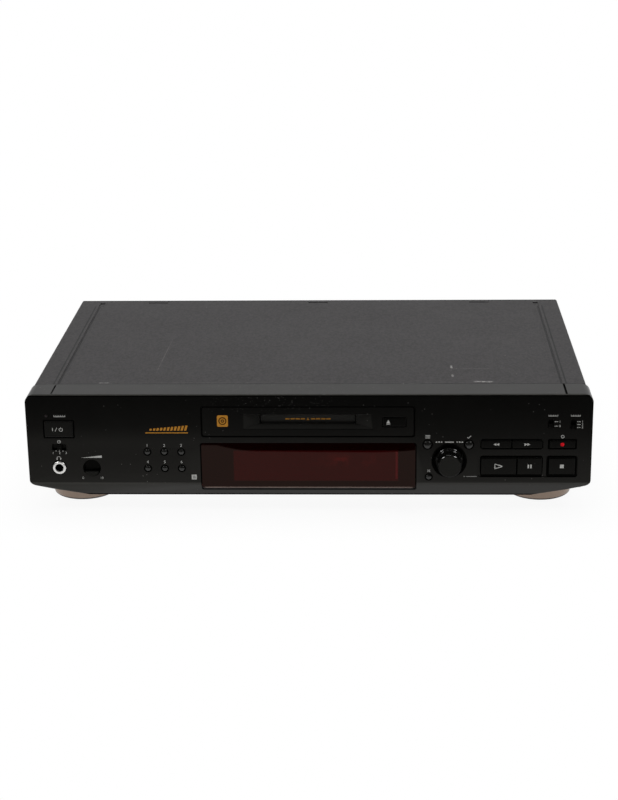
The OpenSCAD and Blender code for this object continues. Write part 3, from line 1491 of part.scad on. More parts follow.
module optical_sockets() {
    w = optical_w / 2;
    hole = optical_hole / 2;
    color(rubber_black) for (x = optical_x) difference() {
        union() {
            box([x - w, x + w], [rear_y - 13, rear_y - sheet_t - seat_gap],
                [deck_board_z + board_t + seat_gap, socket_z + w]);
            box([x - w, x + w], [rear_y - 3, rear_y + 0.6], [socket_z - w, socket_z + w]);
        }
        box([x - hole, x + hole], [rear_y + 0.6 - optical_depth, rear_y + 1],
            [socket_z - hole, socket_z + hole]);
    }
}

module mains_inlet() {
    color(rubber_black) {
        difference() {
            union() {
                front_slab([inlet_x, socket_z], inlet_w + 6, inlet_h + 6, 1,
                           rear_y - inlet_depth - 4, rear_y + eps);
                front_slab([inlet_x, socket_z], inlet_w + 12, inlet_h + 12, 2,
                           rear_y + seat_gap, rear_y + 2);
                front_slab([inlet_x, socket_z], inlet_w + 6, inlet_h + 6, 1,
                           rear_y - eps, rear_y + seat_gap + eps);
            }
            front_slab([inlet_x, socket_z], inlet_w, inlet_h, inlet_h / 2 - 0.5,
                       rear_y + 2 - inlet_depth, rear_y + 3);
        }
    }
    color(steel) for (sx = [-1, 1])
        rod_along_y([inlet_x + sx * inlet_pin / 2, socket_z], rear_y + 1 - inlet_depth,
                    rear_y - 4, 1.15);
}

// Flat cables lie in gentle steps: points along Y and Z, drawn out to the cable's width
module flat_cable(x0, x1, path) {
    t = 0.3;
    along_x(x0, x1) polygon(concat(
        [for (p = path) [p[0], p[1]]],
        [for (i = [len(path) - 1 : -1 : 0]) [path[i][0], path[i][1] + t]]
    ));
}

module flat_cables() {
    z = deck_board_z + board_t + 6 + seat_gap;
    low = board_low_z + 6 + seat_gap;
    y = main_board_y[0];
    color([0.85, 0.85, 0.8]) {
        flat_cable(main_board_x[0] + 14, main_board_x[0] + 40, [
            [board_y + board_t + 1, low], [bulkhead_y - 1, low], [bulkhead_y + 5, low],
            [y - 4, z], [y + 8, z]
        ]);
    }
}

top_cover();
chassis_base();
front_bulkhead();
rear_panel();
front_panel();
slot_panel();
display_window();
feet();
foot_pads();
case_screws();
inner_screws();
headphone_jack();
standby_lens();
slot_flap();
eject_button();
power_button();
timer_switch();
phone_level_knob();
small_button(0);  // small_button_1
small_button(1);  // small_button_2
small_button(2);  // small_button_3
small_button(3);  // small_button_4
small_button(4);  // small_button_5
small_button(5);  // small_button_6
menu_button();
yes_button();
clear_button();
jog_plunger();
jog_knob();
rewind_button();
forward_button();
record_button();
play_button();
pause_button();
stop_button();
record_mode_switch();
input_switch();
front_board();
display_tube();
main_board();
power_board();
transformer();
mechanism_bracket();
mechanism_dampers();
mechanism_frame();
cartridge_holder();
load_cam();
load_gear();
load_pinion();
drive_motors();
spindle_motor();
turntable();
optical_pickup();
guide_rods();
lead_screw();
record_head_arm();
phono_sockets();
optical_sockets();
mains_inlet();
flat_cables();
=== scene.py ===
import json
import math

import bmesh
import bpy
from mathutils import Matrix, Vector


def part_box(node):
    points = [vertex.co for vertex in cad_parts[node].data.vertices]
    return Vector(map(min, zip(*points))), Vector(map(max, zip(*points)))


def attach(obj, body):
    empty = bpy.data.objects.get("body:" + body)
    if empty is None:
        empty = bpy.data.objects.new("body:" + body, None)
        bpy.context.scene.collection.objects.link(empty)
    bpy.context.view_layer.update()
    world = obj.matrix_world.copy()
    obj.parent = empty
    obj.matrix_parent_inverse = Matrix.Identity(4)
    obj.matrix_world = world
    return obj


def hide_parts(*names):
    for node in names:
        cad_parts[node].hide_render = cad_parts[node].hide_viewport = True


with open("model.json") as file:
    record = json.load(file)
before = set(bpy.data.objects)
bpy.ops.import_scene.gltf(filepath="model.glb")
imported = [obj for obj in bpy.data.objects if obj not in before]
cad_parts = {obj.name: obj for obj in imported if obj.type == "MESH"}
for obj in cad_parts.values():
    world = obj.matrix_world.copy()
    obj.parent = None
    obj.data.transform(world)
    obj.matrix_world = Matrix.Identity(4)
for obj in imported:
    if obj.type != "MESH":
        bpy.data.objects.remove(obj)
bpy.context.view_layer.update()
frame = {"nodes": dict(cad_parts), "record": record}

# A full-width slot-loading deck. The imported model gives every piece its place; this script
# gives the pieces their finishes, eases their edges, prints the marks on the front and sets
# up the camera, the light and the floor. Finishes, edges and marks are in millimetres. The
# camera, the lights and the floor are in metres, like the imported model's own frame.

MM = 0.001


# ---------------------------------------------------------------------------
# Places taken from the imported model, in millimetres
# ---------------------------------------------------------------------------

BODIES = frame["record"]["behaviour"]["bodies"]
SMALL_BUTTONS = [f"small_button_{number}" for number in range(1, 7)]
ROUND_BUTTONS = ["menu_button", "yes_button", "clear_button"] + SMALL_BUTTONS


def box(node):
    """A node's low and high corners."""
    return [[c / MM for c in corner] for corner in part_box(node)]


def centre(node):
    return [(a + b) / 2 / MM for a, b in zip(*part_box(node))]


def front_of(node):
    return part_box(node)[0][1] / MM


def rear_of(node):
    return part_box(node)[1][1] / MM


def base_of(node):
    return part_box(node)[0][2] / MM


def top_of(node):
    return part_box(node)[1][2] / MM


def body_of(node):
    return next(body for body, nodes in BODIES.items() if node in nodes)


DECK = body_of("front_panel")
FACE = front_of("front_panel")


# ---------------------------------------------------------------------------
# Node trees
# ---------------------------------------------------------------------------

class Value:
    """A node's output that turns Python sums into Math nodes."""

    def __init__(self, tree, socket):
        self.tree, self.socket = tree, socket

    def maths(self, operation, *operands):
        return self.tree.node("ShaderNodeMath", {"operation": operation},
                              dict(enumerate(operands)))

    def __add__(self, other): return self.maths("ADD", self, other)
    def __radd__(self, other): return self.maths("ADD", other, self)
    def __sub__(self, other): return self.maths("SUBTRACT", self, other)
    def __rsub__(self, other): return self.maths("SUBTRACT", other, self)
    def __mul__(self, other): return self.maths("MULTIPLY", self, other)
    def __rmul__(self, other): return self.maths("MULTIPLY", other, self)
    def __truediv__(self, other): return self.maths("DIVIDE", self, other)
    def __rtruediv__(self, other): return self.maths("DIVIDE", other, self)
    def __abs__(self): return self.maths("ABSOLUTE", self)
    def root(self): return self.maths("SQRT", self)
    def at_least(self, limit): return self.maths("MAXIMUM", self, limit)

    def rise(self, low, high):
        """0 below low, 1 above high, and a smooth climb between."""
        return self.tree.node("ShaderNodeMapRange", {"interpolation_type": "SMOOTHSTEP"},
                              {"Value": self, "From Min": low, "From Max": high})

    def between(self, low, high, soft=0.3):
        """1 from low to high, with an edge that is twice soft wide."""
        return self.rise(low - soft, low + soft) * (1 - self.rise(high - soft, high + soft))

    def cycle(self, period):
        """How far along each period the value is, from 0 to 1."""
        return self.maths("FRACT", self / period)

    def blend(self, low, high):
        """A colour between two colours, by this value: a Mix node's sockets for colours."""
        return self.tree.node("ShaderNodeMix", {"data_type": "RGBA"},
                              {0: self, 6: low, 7: high}, output=2)

    def other(self, output):
        """Another output of the node that this value comes from."""
        return Value(self.tree, self.socket.node.outputs[output])


def distance(a, b):
    return (a * a + b * b).root()


def most(masks):
    """The greatest of some masks."""
    greatest, *others = masks
    for mask in others:
        greatest = greatest.at_least(mask)
    return greatest


class Tree:
    """A node tree. All its nodes come from one method."""

    def __init__(self, tree):
        self.tree = tree
        self.tree.nodes.clear()

    def node(self, kind, settings=None, inputs=None, output=0):
        """Adds a node, sets it up, fills or links its sockets and returns one output."""
        made = self.tree.nodes.new(kind)
        for key, setting in (settings or {}).items():
            setattr(made, key, setting)
        for key, value in (inputs or {}).items():
            socket = made.inputs[key]
            if isinstance(value, Value):
                self.tree.links.new(value.socket, socket)
            else:
                socket.default_value = (*value, 1.0) if socket.type == "RGBA" else value
        return Value(self, made.outputs[output]) if made.outputs else None


class Finish(Tree):
    """The node tree of one material, or of the world, with the patterns the finishes share."""

    def __init__(self, name, store="materials"):
        self.owner = getattr(bpy.data, store).new(name)
        self.owner.use_nodes = True
        super().__init__(self.owner.node_tree)

    def place(self, scale=(1.0, 1.0, 1.0)):
        """Where the point is on the deck, in millimetres, with each axis stretched by scale."""
        coordinates = self.node("ShaderNodeTexCoord", output="Object")
        return self.node("ShaderNodeVectorMath", {"operation": "MULTIPLY"},
                         {0: coordinates, 1: tuple(s / MM for s in scale)})

    def xyz(self):
        split = self.node("ShaderNodeSeparateXYZ", {}, {0: self.place()})
        return [split.other(axis) for axis in "XYZ"]

    def noise(self, size, detail=2.0, roughness=0.5, stretch=(1.0, 1.0, 1.0)):
        """Cloudy variation whose blobs measure about size millimetres."""
        return self.node("ShaderNodeTexNoise", {},
                         {"Vector": self.place(stretch), "Scale": 1.0 / size,
                          "Detail": detail, "Roughness": roughness})

    def cells(self, size):
        """Distance to the nearest of many scattered points, about size millimetres apart."""
        return self.node("ShaderNodeTexVoronoi", {},
                         {"Vector": self.place(), "Scale": 1.0 / size})

    def bump(self, height, strength, depth):
        return self.node("ShaderNodeBump", {},
                         {"Height": height, "Strength": strength, "Distance": depth * MM})

    def surface(self, seam_shade=None, **inputs):
        """Ends the tree in one Principled shader. Names are the sockets' with _ for spaces.
        Where the seam mask is 1, in the narrow gaps between mouldings, a near-black painted
        shade covers the colour."""
        shader = self.node("ShaderNodeBsdfPrincipled", {},
                           {key.replace("_", " "): value for key, value in inputs.items()})
        if seam_shade is not None:
            # A near-black painted shade, slightly uneven, for the gaps between mouldings
            painted_shade = self.node("ShaderNodeBsdfPrincipled", {},
                              {"Base Color": self.noise(1.0).blend((0.0006, 0.0006, 0.0006),
                                                                   (0.0012, 0.0011, 0.001)),
                               "Roughness": 0.95, "Specular IOR Level": 0.0})
            shader = self.node("ShaderNodeMixShader", {}, {0: seam_shade, 1: shader, 2: painted_shade})
        return self.close(shader)

    def close(self, shader, end="ShaderNodeOutputMaterial"):
        self.node(end, {}, {"Surface": shader})
        return self.owner


# ---------------------------------------------------------------------------
# Finishes of the cover and the front
# ---------------------------------------------------------------------------

BLACK = (0.0, 0.0, 0.0)

# Rubs on the cover: X and Y of the middle, length, width, degrees of turn, and how pale
RUBS = [
    (44, -106, 14, 2.4, 0, 1.0), (72, -104, 3, 2.0, 20, 1.0), (134, -99, 17, 4.6, -3, 1.0),
    (111, -62, 2.0, 12.0, 0, 1.0), (111, -84, 1.8, 8.0, 0, 1.0), (-158, -101, 10, 1.6, 0, 1.0),
    # Long hairline scratches
    (-119, -28, 105, 1.1, 88, 0.21), (128, -66, 34, 1.0, 4, 0.3),
    (90, -102, 40, 1.2, 8, 0.21), (-60, -100, 200, 1.4, 1, 0.15),
]
GROOVE_SHADE_X = 195.0                     # two lines of painted shade run along each end of the cover here
GROOVE_SHADE_Y, GROOVE_SHADE_REACH = 4.0, 112.0   # their middle, and how far they run either way


def wear(x, y, middle_x, middle_y, length, width, turn, pale):
    """A short rub: pale along its middle and fading at its ends."""
    c, s = math.cos(math.radians(turn)), math.sin(math.radians(turn))
    along = (x - middle_x) * c + (y - middle_y) * s
    across = (y - middle_y) * c - (x - middle_x) * s
    return ((1 - abs(along).rise(0.6 * length / 2, length / 2))
            * (1 - abs(across).rise(0.0, width / 2)) * pale)


def cover_paint():
    """Dark grey stoved paint with a fine texture, faint smears, dust and a few pale rubs,
    and painted shade along the pressed grooves and the rear edge.
    """
    f = Finish("cover_paint")
    x, y, _ = f.xyz()
    grain, smear = f.noise(0.55, 3.0), f.noise(70.0, 3.0, 0.6)
    fine = f.noise(1.1, 2.0, 0.6, (1.0, 0.45, 1.0))
    mottle = f.noise(2.0, 2.0, 0.6, (1.0, 0.6, 1.0)).rise(0.3, 0.7)
    haze = f.noise(34.0, 2.0).rise(0.5, 0.7) * (1 - abs(x - 150.0).rise(20.0, 70.0))
    tone = 0.19 + 0.16 * smear + 0.3 * grain + 0.8 * fine + 0.5 * mottle + 0.14 * haze
    # Painted shade in two lines along each end, by the pressed grooves
    painted_shade = abs(abs(x) - GROOVE_SHADE_X).between(1.2, 2.5, 0.25) * (0.45 + 0.7 * f.noise(5.0))
    painted_shade = painted_shade.rise(0.0, 1.1) * (1 - abs(y - GROOVE_SHADE_Y).rise(GROOVE_SHADE_REACH, GROOVE_SHADE_REACH + 1.0))
    rear = rear_of("top_cover")
    # Both dark factors are painted shade: the grooves' lines, and a band along the rounded rear
    # edge
    tone = tone * (1 - painted_shade) * (1 - 0.7 * y.rise(rear - 2.2, rear - 1.4))
    dust = (1 - f.cells(11.0).rise(0.02, 0.05)) * f.noise(30.0).rise(0.5, 0.62)
    rubs = sum(wear(x, y, *rub) for rub in RUBS) * f.noise(1.6, 3.0, 0.7).rise(0.35, 0.62)
    shade = (tone * 0.5).blend(BLACK, (0.0545, 0.0508, 0.0522))
    shade = (rubs + dust * 0.35).blend(shade, (0.34, 0.33, 0.32))
    return f.surface(Base_Color=shade, Roughness=0.46 + 0.1 * smear + 0.06 * grain,
                     Specular_IOR_Level=0.12, Normal=f.bump(grain, 0.35, 0.05))


SEAM_SOFT = 0.12    # half the width over which a seam's edge fades


def box_part(x, z, low_x, high_x, low_z, high_z, corner):
    """1 inside a rectangle of the front with rounded corners."""
    past_x = (abs(x - (low_x + high_x) / 2) - ((high_x - low_x) / 2 - corner)).at_least(0.0)
    past_z = (abs(z - (low_z + high_z) / 2) - ((high_z - low_z) / 2 - corner)).at_least(0.0)
    return 1 - distance(past_x, past_z).rise(corner - SEAM_SOFT, corner + SEAM_SOFT)


def round_part(x, z, node, radius, soft=SEAM_SOFT):
    """1 inside a circle of the front, round a node's middle."""
    middle_x, _, middle_z = centre(node)
    return 1 - distance(x - middle_x, z - middle_z).rise(radius - soft, radius + soft)


def opening(x, z, nodes, beside, below, above, corner):
    """1 inside a rounded opening, whose edges lie this far inside the nodes' boxes."""
    boxes = [box(node) for node in nodes]
    return box_part(x, z, min(low[0] for low, _ in boxes) + beside,
                    max(high[0] for _, high in boxes) - beside,
                    min(low[2] for low, _ in boxes) + below,
                    max(high[2] for _, high in boxes) - above, corner)


def black_satin(f, gloss, shade, dust, pale_part_and_painted_light=0.0, sheen=0.17, coat=0.0, seam_shade=None):
    """Black moulding: a very fine grain, handling marks and dust. The fourth argument makes a part
    paler: a paler disc on the jog knob, painted highlights and painted reflections elsewhere.
    """
    grain, smear = f.noise(0.35, 2.0), f.noise(35.0, 3.0, 0.6)
    x, _, z = f.xyz()
    # Dust lies in patches, near the top, and thickest along the middle of the ledge
    near_top = (1 - abs(x + 10.0).rise(40.0, 130.0)) * z.rise(70.0, 88.0)
    patch = (f.noise(24.0).rise(0.52, 0.6) + 0.8 * near_top).rise(0.0, 1.0)
    crowded = (1 - abs(x + 25.0).rise(25.0, 65.0)) * z.rise(79.0, 85.0)
    specks = ((1 - f.cells(4.2).rise(0.05, 0.1)) * patch
              + (1 - f.cells(1.7).rise(0.09, 0.17)) * crowded * 0.7) * dust
    tone = 0.8 + 0.4 * smear
    plain = (tone * 0.5).blend(BLACK, (shade * 2, shade * 2, shade * 1.85))
    paler = (pale_part_and_painted_light * tone * 0.25).blend(plain, (0.060, 0.0595, 0.054))
    return f.surface(Base_Color=(specks * 0.4).blend(paler, (0.3, 0.29, 0.28)),
                     Roughness=gloss + 0.07 * smear + 0.05 * grain, Specular_IOR_Level=sheen,
                     Specular_Tint=(1.0, 0.96, 0.88), Coat_Weight=coat, Coat_Roughness=0.07,
                     Normal=f.bump(grain, 0.22, 0.03), seam_shade=seam_shade)


def key_plastic(name, shade, dust, sheen, coat=0.0):
    return black_satin(Finish(name), 0.3, shade, dust, sheen=sheen, coat=coat)


HOLE_EDGE = 0.4            # how far a key's opening lies inside the key's hidden flange
LEDGE_SLOT_INSET = 20.2    # from the front's ends to the narrow slots in its ledge
CHIN_TOP = 24.0            # where the face folds back into the chin

# Painted shade along the edges of the front's openings: the nodes in one opening, how far
# the edge lies inside their boxes at the sides, below and above (outside where negative), its
# corner radius and its strength. The window stands proud over the chin, and the painted shade
# of the lowest keys reaches into the tray beside them.
OPENINGS = [
    (["slot_panel"], 0.8, 0.9, 1.0, 2.2, 0.9),
    (["display_window"], 0.7, -3.3, 1.3, 1.8, 1.0),
    (["power_button"], HOLE_EDGE, HOLE_EDGE, HOLE_EDGE, 1.0, 1.0),
    (["rewind_button", "forward_button"], HOLE_EDGE, HOLE_EDGE, HOLE_EDGE, 1.0, 1.0),
    (["record_button"], HOLE_EDGE, HOLE_EDGE, HOLE_EDGE, 1.0, 1.0),
    (["play_button", "pause_button"], HOLE_EDGE - 0.7, HOLE_EDGE - 1.65, HOLE_EDGE, 1.7, 1.0),
    (["stop_button"], HOLE_EDGE - 0.7, HOLE_EDGE - 1.65, HOLE_EDGE, 1.7, 1.0),
]


def front_seams(x, z):
    """The painted shade along the edges of what the front holds."""
    seam_shade = [opening(x, z, nodes, *edge) * strength for nodes, *edge, strength in OPENINGS]
    for node in ROUND_BUTTONS:
        low, high = box(node)
        seam_shade.append(round_part(x, z, node, (high[0] - low[0]) / 2 - HOLE_EDGE))
    seam_shade.append(round_part(x, z, "headphone_jack", 5.825, 0.125))
    return seam_shade


def front_plastic():
    """The moulded front: satin face, duller ledge on top, painted shade in the gaps round what it
    holds, a painted highlight along its top edge and painted reflections on the face and chin.
    """
    f = Finish("front_plastic")
    x, y, z = f.xyz()
    (_, front, base), (end, _, top) = box("front_panel")
    at_front = 1 - y.rise(front + 1.0, front + 1.3)
    # A painted highlight along the bevel of the top front edge
    painted_edge_highlight = z.between(top - 0.64, top - 0.02, 0.08) * at_front
    # Painted shade in a band just under that edge
    under_edge_shade = z.between(top - 1.5, top - 0.72, 0.1) * at_front
    # Painted shade along the chin's lower edge
    under_chin_shade = 1 - z.rise(base + 1.25, base + 1.5)
    ledge_slot_shade = 1 - abs(abs(x) - (end - LEDGE_SLOT_INSET)).rise(0.75, 0.95)
    # Painted shade in the ledge's narrow slots; the left slot's painted shade is fainter than the
    # right one's
    ledge_slot_shade = ledge_slot_shade * z.rise(top - 2.0, top - 1.5) * (0.25 + 0.75 * x.rise(-1.0, 1.0))
    seam_shade = most(front_seams(x, z) + [under_edge_shade, under_chin_shade, ledge_slot_shade])
    # A paler band painted across the face at middle height, left of the middle, as a painted
    # reflection; the chin is painted lighter as a painted reflection, most under its fold and at
    # its left
    painted_face_reflection = z.between(51.0, 63.0, 8.0) * (1 - x.rise(30.0, 120.0)) * 0.42
    left = 1 - x.rise(-150.0, -40.0)
    chin = (1 - z.rise(CHIN_TOP - 0.3, CHIN_TOP)) * (
        0.5 + 1.2 * z.rise(CHIN_TOP - 3.5, CHIN_TOP - 0.3)
        + 1.3 * left * z.rise(CHIN_TOP - 12.0, CHIN_TOP - 5.0))
    return black_satin(f, 0.25 + 0.1 * z.rise(top - 1.6, top - 0.6), 0.0030, 1.0,
                       painted_face_reflection + chin + 2.6 * painted_edge_highlight,
                       seam_shade=seam_shade * (0.9 - 0.9 * painted_edge_highlight))


MOUTH = 50.0    # half the width of the slot's mouth, with its facets


def slot_plastic():
    """The slot's panel: painted reflections on the facets that lead into the mouth, and painted
    shade round its front edge.
    """
    f = Finish("slot_plastic")
    front = front_of("slot_panel")
    x, y, z = f.xyz()
    # A painted reflection on the facets that lead into the mouth
    facet_reflection = y.rise(front + 0.25, front + 0.5) * (1 - y.rise(front + 4.6, front + 5.0))
    facet_reflection = (facet_reflection * (1 - abs(x).rise(MOUTH - 0.5, MOUTH))
             * (0.75 + 0.25 * abs(x).rise(MOUTH - 13.0, MOUTH - 2.0)))
    # Painted shade round the panel's front edge
    seam_shade = ((1 - opening(x, z, ["slot_panel"], 2.0, 2.15, 1.9, 1.7))
             * (1 - y.rise(front + 1.0, front + 1.4)))
    return black_satin(f, 0.3, 0.0028, 0.7, facet_reflection * 0.7, seam_shade=seam_shade * 0.95)


def jog_plastic():
    """The jog knob: glossy black over the upper part of its side, a satin grey disc in front."""
    f = Finish("jog_plastic")
    front, middle = front_of("jog_knob"), centre("jog_knob")[2]
    _, y, z = f.xyz()
    disc_part = 1 - y.rise(front + 0.06, front + 0.16)
    coat = (1 - disc_part) * z.rise(middle + 0.2, middle + 5.2)
    return black_satin(f, 0.42, 0.0022, 0.2, disc_part * 1.05, 0.06, coat)


def level_plastic():
    """The level knob: a dark dished disc behind its grip, whose front is painted paler as a
    painted highlight.
    """
    f = Finish("level_plastic")
    front = front_of("phone_level_knob")
    _, y, _ = f.xyz()
    # The grip's front is painted paler: a painted highlight
    return black_satin(f, 0.4, 0.0016, 0.1, (1 - y.rise(front + 1.0, front + 2.4)) * 0.8, 0.05)


# What the smoked window's colour holds: the display's area, the bright strip at its right end,
# a small painted reflection, and a warm painted glow round that
AREA_X, AREA_Z = (-57.0, 68.5), (25.5, 50.0)
STRIP_X, STRIP_Z = (66.6, 68.2), (27.0, 49.0)
PAINTED_REFLECTION_X, PAINTED_REFLECTION_Z, PAINTED_REFLECTION_REACH = 25.0, 43.0, (7.0, 2.2)
GLOW_X, GLOW_Z = (12.0, 52.0), (38.0, 47.0)


def smoked_window():
    """Smoked red acrylic over the display, with a pale painted highlight along its lower lip."""
    f = Finish("smoked_window")
    x, _, z = f.xyz()
    cloud = f.noise(9.0, 2.0)
    area = x.between(*AREA_X, 0.7) * z.between(*AREA_Z, 0.7)
    strip = x.between(*STRIP_X, 0.4) * z.between(*STRIP_Z, 0.6)
    # A small painted reflection, and below it a warm painted glow round it
    painted_reflection = ((1 - (abs(x - PAINTED_REFLECTION_X) / PAINTED_REFLECTION_REACH[0]).rise(0.2, 1.0))
            * (1 - (abs(z - PAINTED_REFLECTION_Z) / PAINTED_REFLECTION_REACH[1]).rise(0.2, 1.0)))
    glow = x.between(*GLOW_X, 12.0) * z.between(*GLOW_Z, 3.0) * cloud.rise(0.42, 0.66)
    base = base_of("display_window")
    # A pale painted highlight along the lower lip
    lip = z.between(base + 0.45, base + 1.45, 0.2) * x.between(-79.5, 79.5, 1.0)
    shade = area.blend((0.0050, 0.0004, 0.0002), (0.0330, 0.0006, 0.0010))
    shade = (glow * 0.3 + painted_reflection * 0.5).blend(shade, (0.09, 0.003, 0.003))
    shade = (strip * 0.8).blend(shade, (0.10, 0.006, 0.008))
    shade = (lip * (0.7 + 0.5 * cloud)).blend(shade, (0.22, 0.165, 0.145))
    return f.surface(Base_Color=shade, Roughness=0.022 + 0.02 * cloud, Specular_IOR_Level=0.16,
                     Specular_Tint=(1.0, 0.68, 0.58), Normal=f.bump(f.noise(40.0), 0.01, 0.2))


def foot_champagne():
    """Satin champagne moulding with fine turned rings and a dark lower rim."""
    f = Finish("foot_champagne")
    _, _, z = f.xyz()
    rings, cloud = z.cycle(0.45), f.noise(6.0)
    shade = (0.35 + 0.4 * cloud).blend((0.26, 0.19, 0.145), (0.38, 0.29, 0.23))
    rim = 1 - z.rise(1.3, 2.3)
    return f.surface(Base_Color=rim.blend(shade, (0.006, 0.005, 0.004)),
                     Metallic=0.55 - 0.5 * rim, Roughness=0.34 + 0.1 * cloud,
                     Normal=f.bump(rings.rise(0.1, 0.9), 0.15, 0.03))


# ---------------------------------------------------------------------------
# Finishes of the metal, the boards and the inner pieces
# ---------------------------------------------------------------------------

def rubber():
    f = Finish("pad_rubber")
    grain = f.noise(0.8, 3.0)
    return f.surface(Base_Color=grain.blend((0.012, 0.012, 0.012), (0.03, 0.03, 0.029)),
                     Roughness=0.75 + 0.15 * grain, Normal=f.bump(grain, 0.4, 0.08))


def plating(f, shade, spangle):
    """The colour of zinc plated sheet, with a soft spangle, and its faint rolling lines."""
    patch, lines = f.cells(spangle), f.noise(1.4, 3.0, 0.6, (0.04, 1.0, 1.0))
    dark = tuple(0.8 * c for c in shade)
    return (0.5 * patch + 0.5 * lines).blend(dark, shade), lines


def plated_steel(name, shade, spangle=7.0, roughness=0.36):
    f = Finish(name)
    plate, lines = plating(f, shade, spangle)
    return f.surface(Base_Color=plate, Metallic=0.9, Roughness=roughness + 0.12 * lines,
                     Normal=f.bump(lines, 0.12, 0.02))


def rear_sheet():
    """Zinc plated sheet whose hooked tabs are painted where they show through the cover."""
    f = Finish("rear_sheet")
    top = top_of("top_cover")
    painted = f.xyz()[2].rise(top - 1.2, top - 1.0)
    plate, lines = plating(f, (0.56, 0.57, 0.58), 7.0)
    return f.surface(Base_Color=painted.blend(plate, (0.004, 0.004, 0.004)),
                     Metallic=0.9 - 0.9 * painted, Roughness=0.36 + 0.12 * lines + 0.4 * painted,
                     Normal=f.bump(lines, 0.12, 0.02))


def turned_metal(name, shade, roughness=0.22):
    """Bright metal with the fine rings that turning leaves."""
    f = Finish(name)
    rings, cloud = f.noise(0.25, 2.0, 0.5, (1.0, 5.0, 1.0)), f.noise(4.0)
    dark = tuple(0.85 * c for c in shade)
    return f.surface(Base_Color=cloud.blend(dark, shade), Metallic=1.0,
                     Roughness=roughness + 0.1 * cloud, Normal=f.bump(rings, 0.08, 0.01))


def circuit_board(name, axis, level, mask, track):
    """Solder mask with copper tracks under it; what stands past the board's face is resin.
    The main boards face up, along axis 2, and the front board faces forwards."""
    f = Finish(name)
    along = f.xyz()[axis]
    past = along.rise(level, level + 0.05) if axis == 2 else 1 - along.rise(level - 0.05, level)
    runs = f.node("ShaderNodeTexBrick", {},
                  {"Vector": f.place(), "Scale": 0.28, "Mortar Size": 0.035,
                   "Color1": BLACK, "Color2": BLACK, "Mortar": (1.0, 1.0, 1.0)}, output="Fac")
    cloud = f.noise(12.0, 2.0)
    board = (runs * 0.6 + 0.2 * cloud).blend(mask, track)
    parts = cloud.blend((0.018, 0.018, 0.02), (0.05, 0.05, 0.055))
    return f.surface(Base_Color=past.blend(board, parts), Roughness=0.38 + 0.25 * past,
                     Normal=f.bump(runs, 0.15, 0.03))


def laminated_core():
    """A transformer's stacked laminations, with copper windings where the bobbin shows."""
    f = Finish("laminated_core")
    _, y, z = f.xyz()
    base, half_core = base_of("transformer"), 12.0
    winding = (abs(y - centre("transformer")[1]).rise(half_core - 0.1, half_core + 0.1)
               * z.between(base + 13, base + 41, 0.1))
    sheets, turns = y.cycle(0.5).rise(0.55, 0.8), z.cycle(0.6)
    cloud = f.noise(5.0)
    steel = (0.5 * sheets + 0.3 * cloud).blend((0.02, 0.02, 0.022), (0.09, 0.09, 0.095))
    wire = (turns.rise(0.1, 0.7) * 0.8).blend((0.1, 0.035, 0.012), (0.5, 0.2, 0.07))
    return f.surface(Base_Color=winding.blend(steel, wire), Metallic=0.5,
                     Roughness=0.42 + 0.12 * cloud,
                     Normal=f.bump(sheets * (1 - winding) + turns * winding, 0.3, 0.08))


def jack_metal():
    """A bright nickel ring round a dark bore."""
    f = Finish("jack_nickel")
    front = front_of("headphone_jack")
    _, y, _ = f.xyz()
    inner, cloud = y.rise(front + 0.5, front + 1.4), f.noise(2.0)
    return f.surface(Base_Color=inner.blend((0.80, 0.79, 0.77), (0.004, 0.004, 0.004)),
                     Metallic=1 - inner, Roughness=0.3 + 0.1 * cloud + 0.4 * inner,
                     Specular_IOR_Level=0.1)


def phono_metal():
    """Brass barrels behind the rear panel's outer face, black moulded blocks inside the case."""
    f = Finish("phono_brass")
    wall = rear_of("rear_panel")
    _, y, _ = f.xyz()
    barrel, cloud = y.rise(wall - 1.1, wall - 1.0), f.noise(4.0)
    brass = cloud.blend((0.62, 0.44, 0.19), (0.72, 0.52, 0.22))
    return f.surface(Base_Color=barrel.blend((0.012, 0.012, 0.013), brass), Metallic=barrel,
                     Roughness=0.5 - 0.25 * barrel + 0.1 * cloud)


def moulding(name, shade, roughness=0.42):
    """Plain moulded plastic with a spark-eroded grain."""
    f = Finish(name)
    grain, cloud = f.noise(0.5, 3.0), f.noise(18.0)
    dark = tuple(0.82 * c for c in shade)
    return f.surface(Base_Color=cloud.blend(dark, shade), Roughness=roughness + 0.1 * grain,
                     Normal=f.bump(grain, 0.2, 0.03))


def ink(name, shade):
    """Screen-printed ink, slightly uneven."""
    f = Finish(name)
    cloud = f.noise(1.1, 2.0)
    dark = tuple(0.8 * c for c in shade)
    return f.surface(Base_Color=cloud.blend(dark, shade), Roughness=0.5 + 0.15 * cloud,
                     Specular_IOR_Level=0.15)


def flat_cable_film():
    """Clear film over a row of fine conductors."""
    f = Finish("flat_cable_film")
    wires = f.xyz()[0].cycle(1.0).between(0.25, 0.75, 0.08)
    return f.surface(Base_Color=wires.blend((0.62, 0.62, 0.58), (0.38, 0.39, 0.4)),
                     Roughness=0.4 + 0.1 * wires, Normal=f.bump(wires, 0.3, 0.05))


FRONT_BOARD_FACE = 7.6    # from the rear of the front board's parts to the board's front face
BOARD_T = 1.6
TRACK_GREEN = [(0.012, 0.06, 0.025), (0.05, 0.16, 0.06)]
DECK_BOARD_TOP = base_of("main_board") + BOARD_T + 0.02

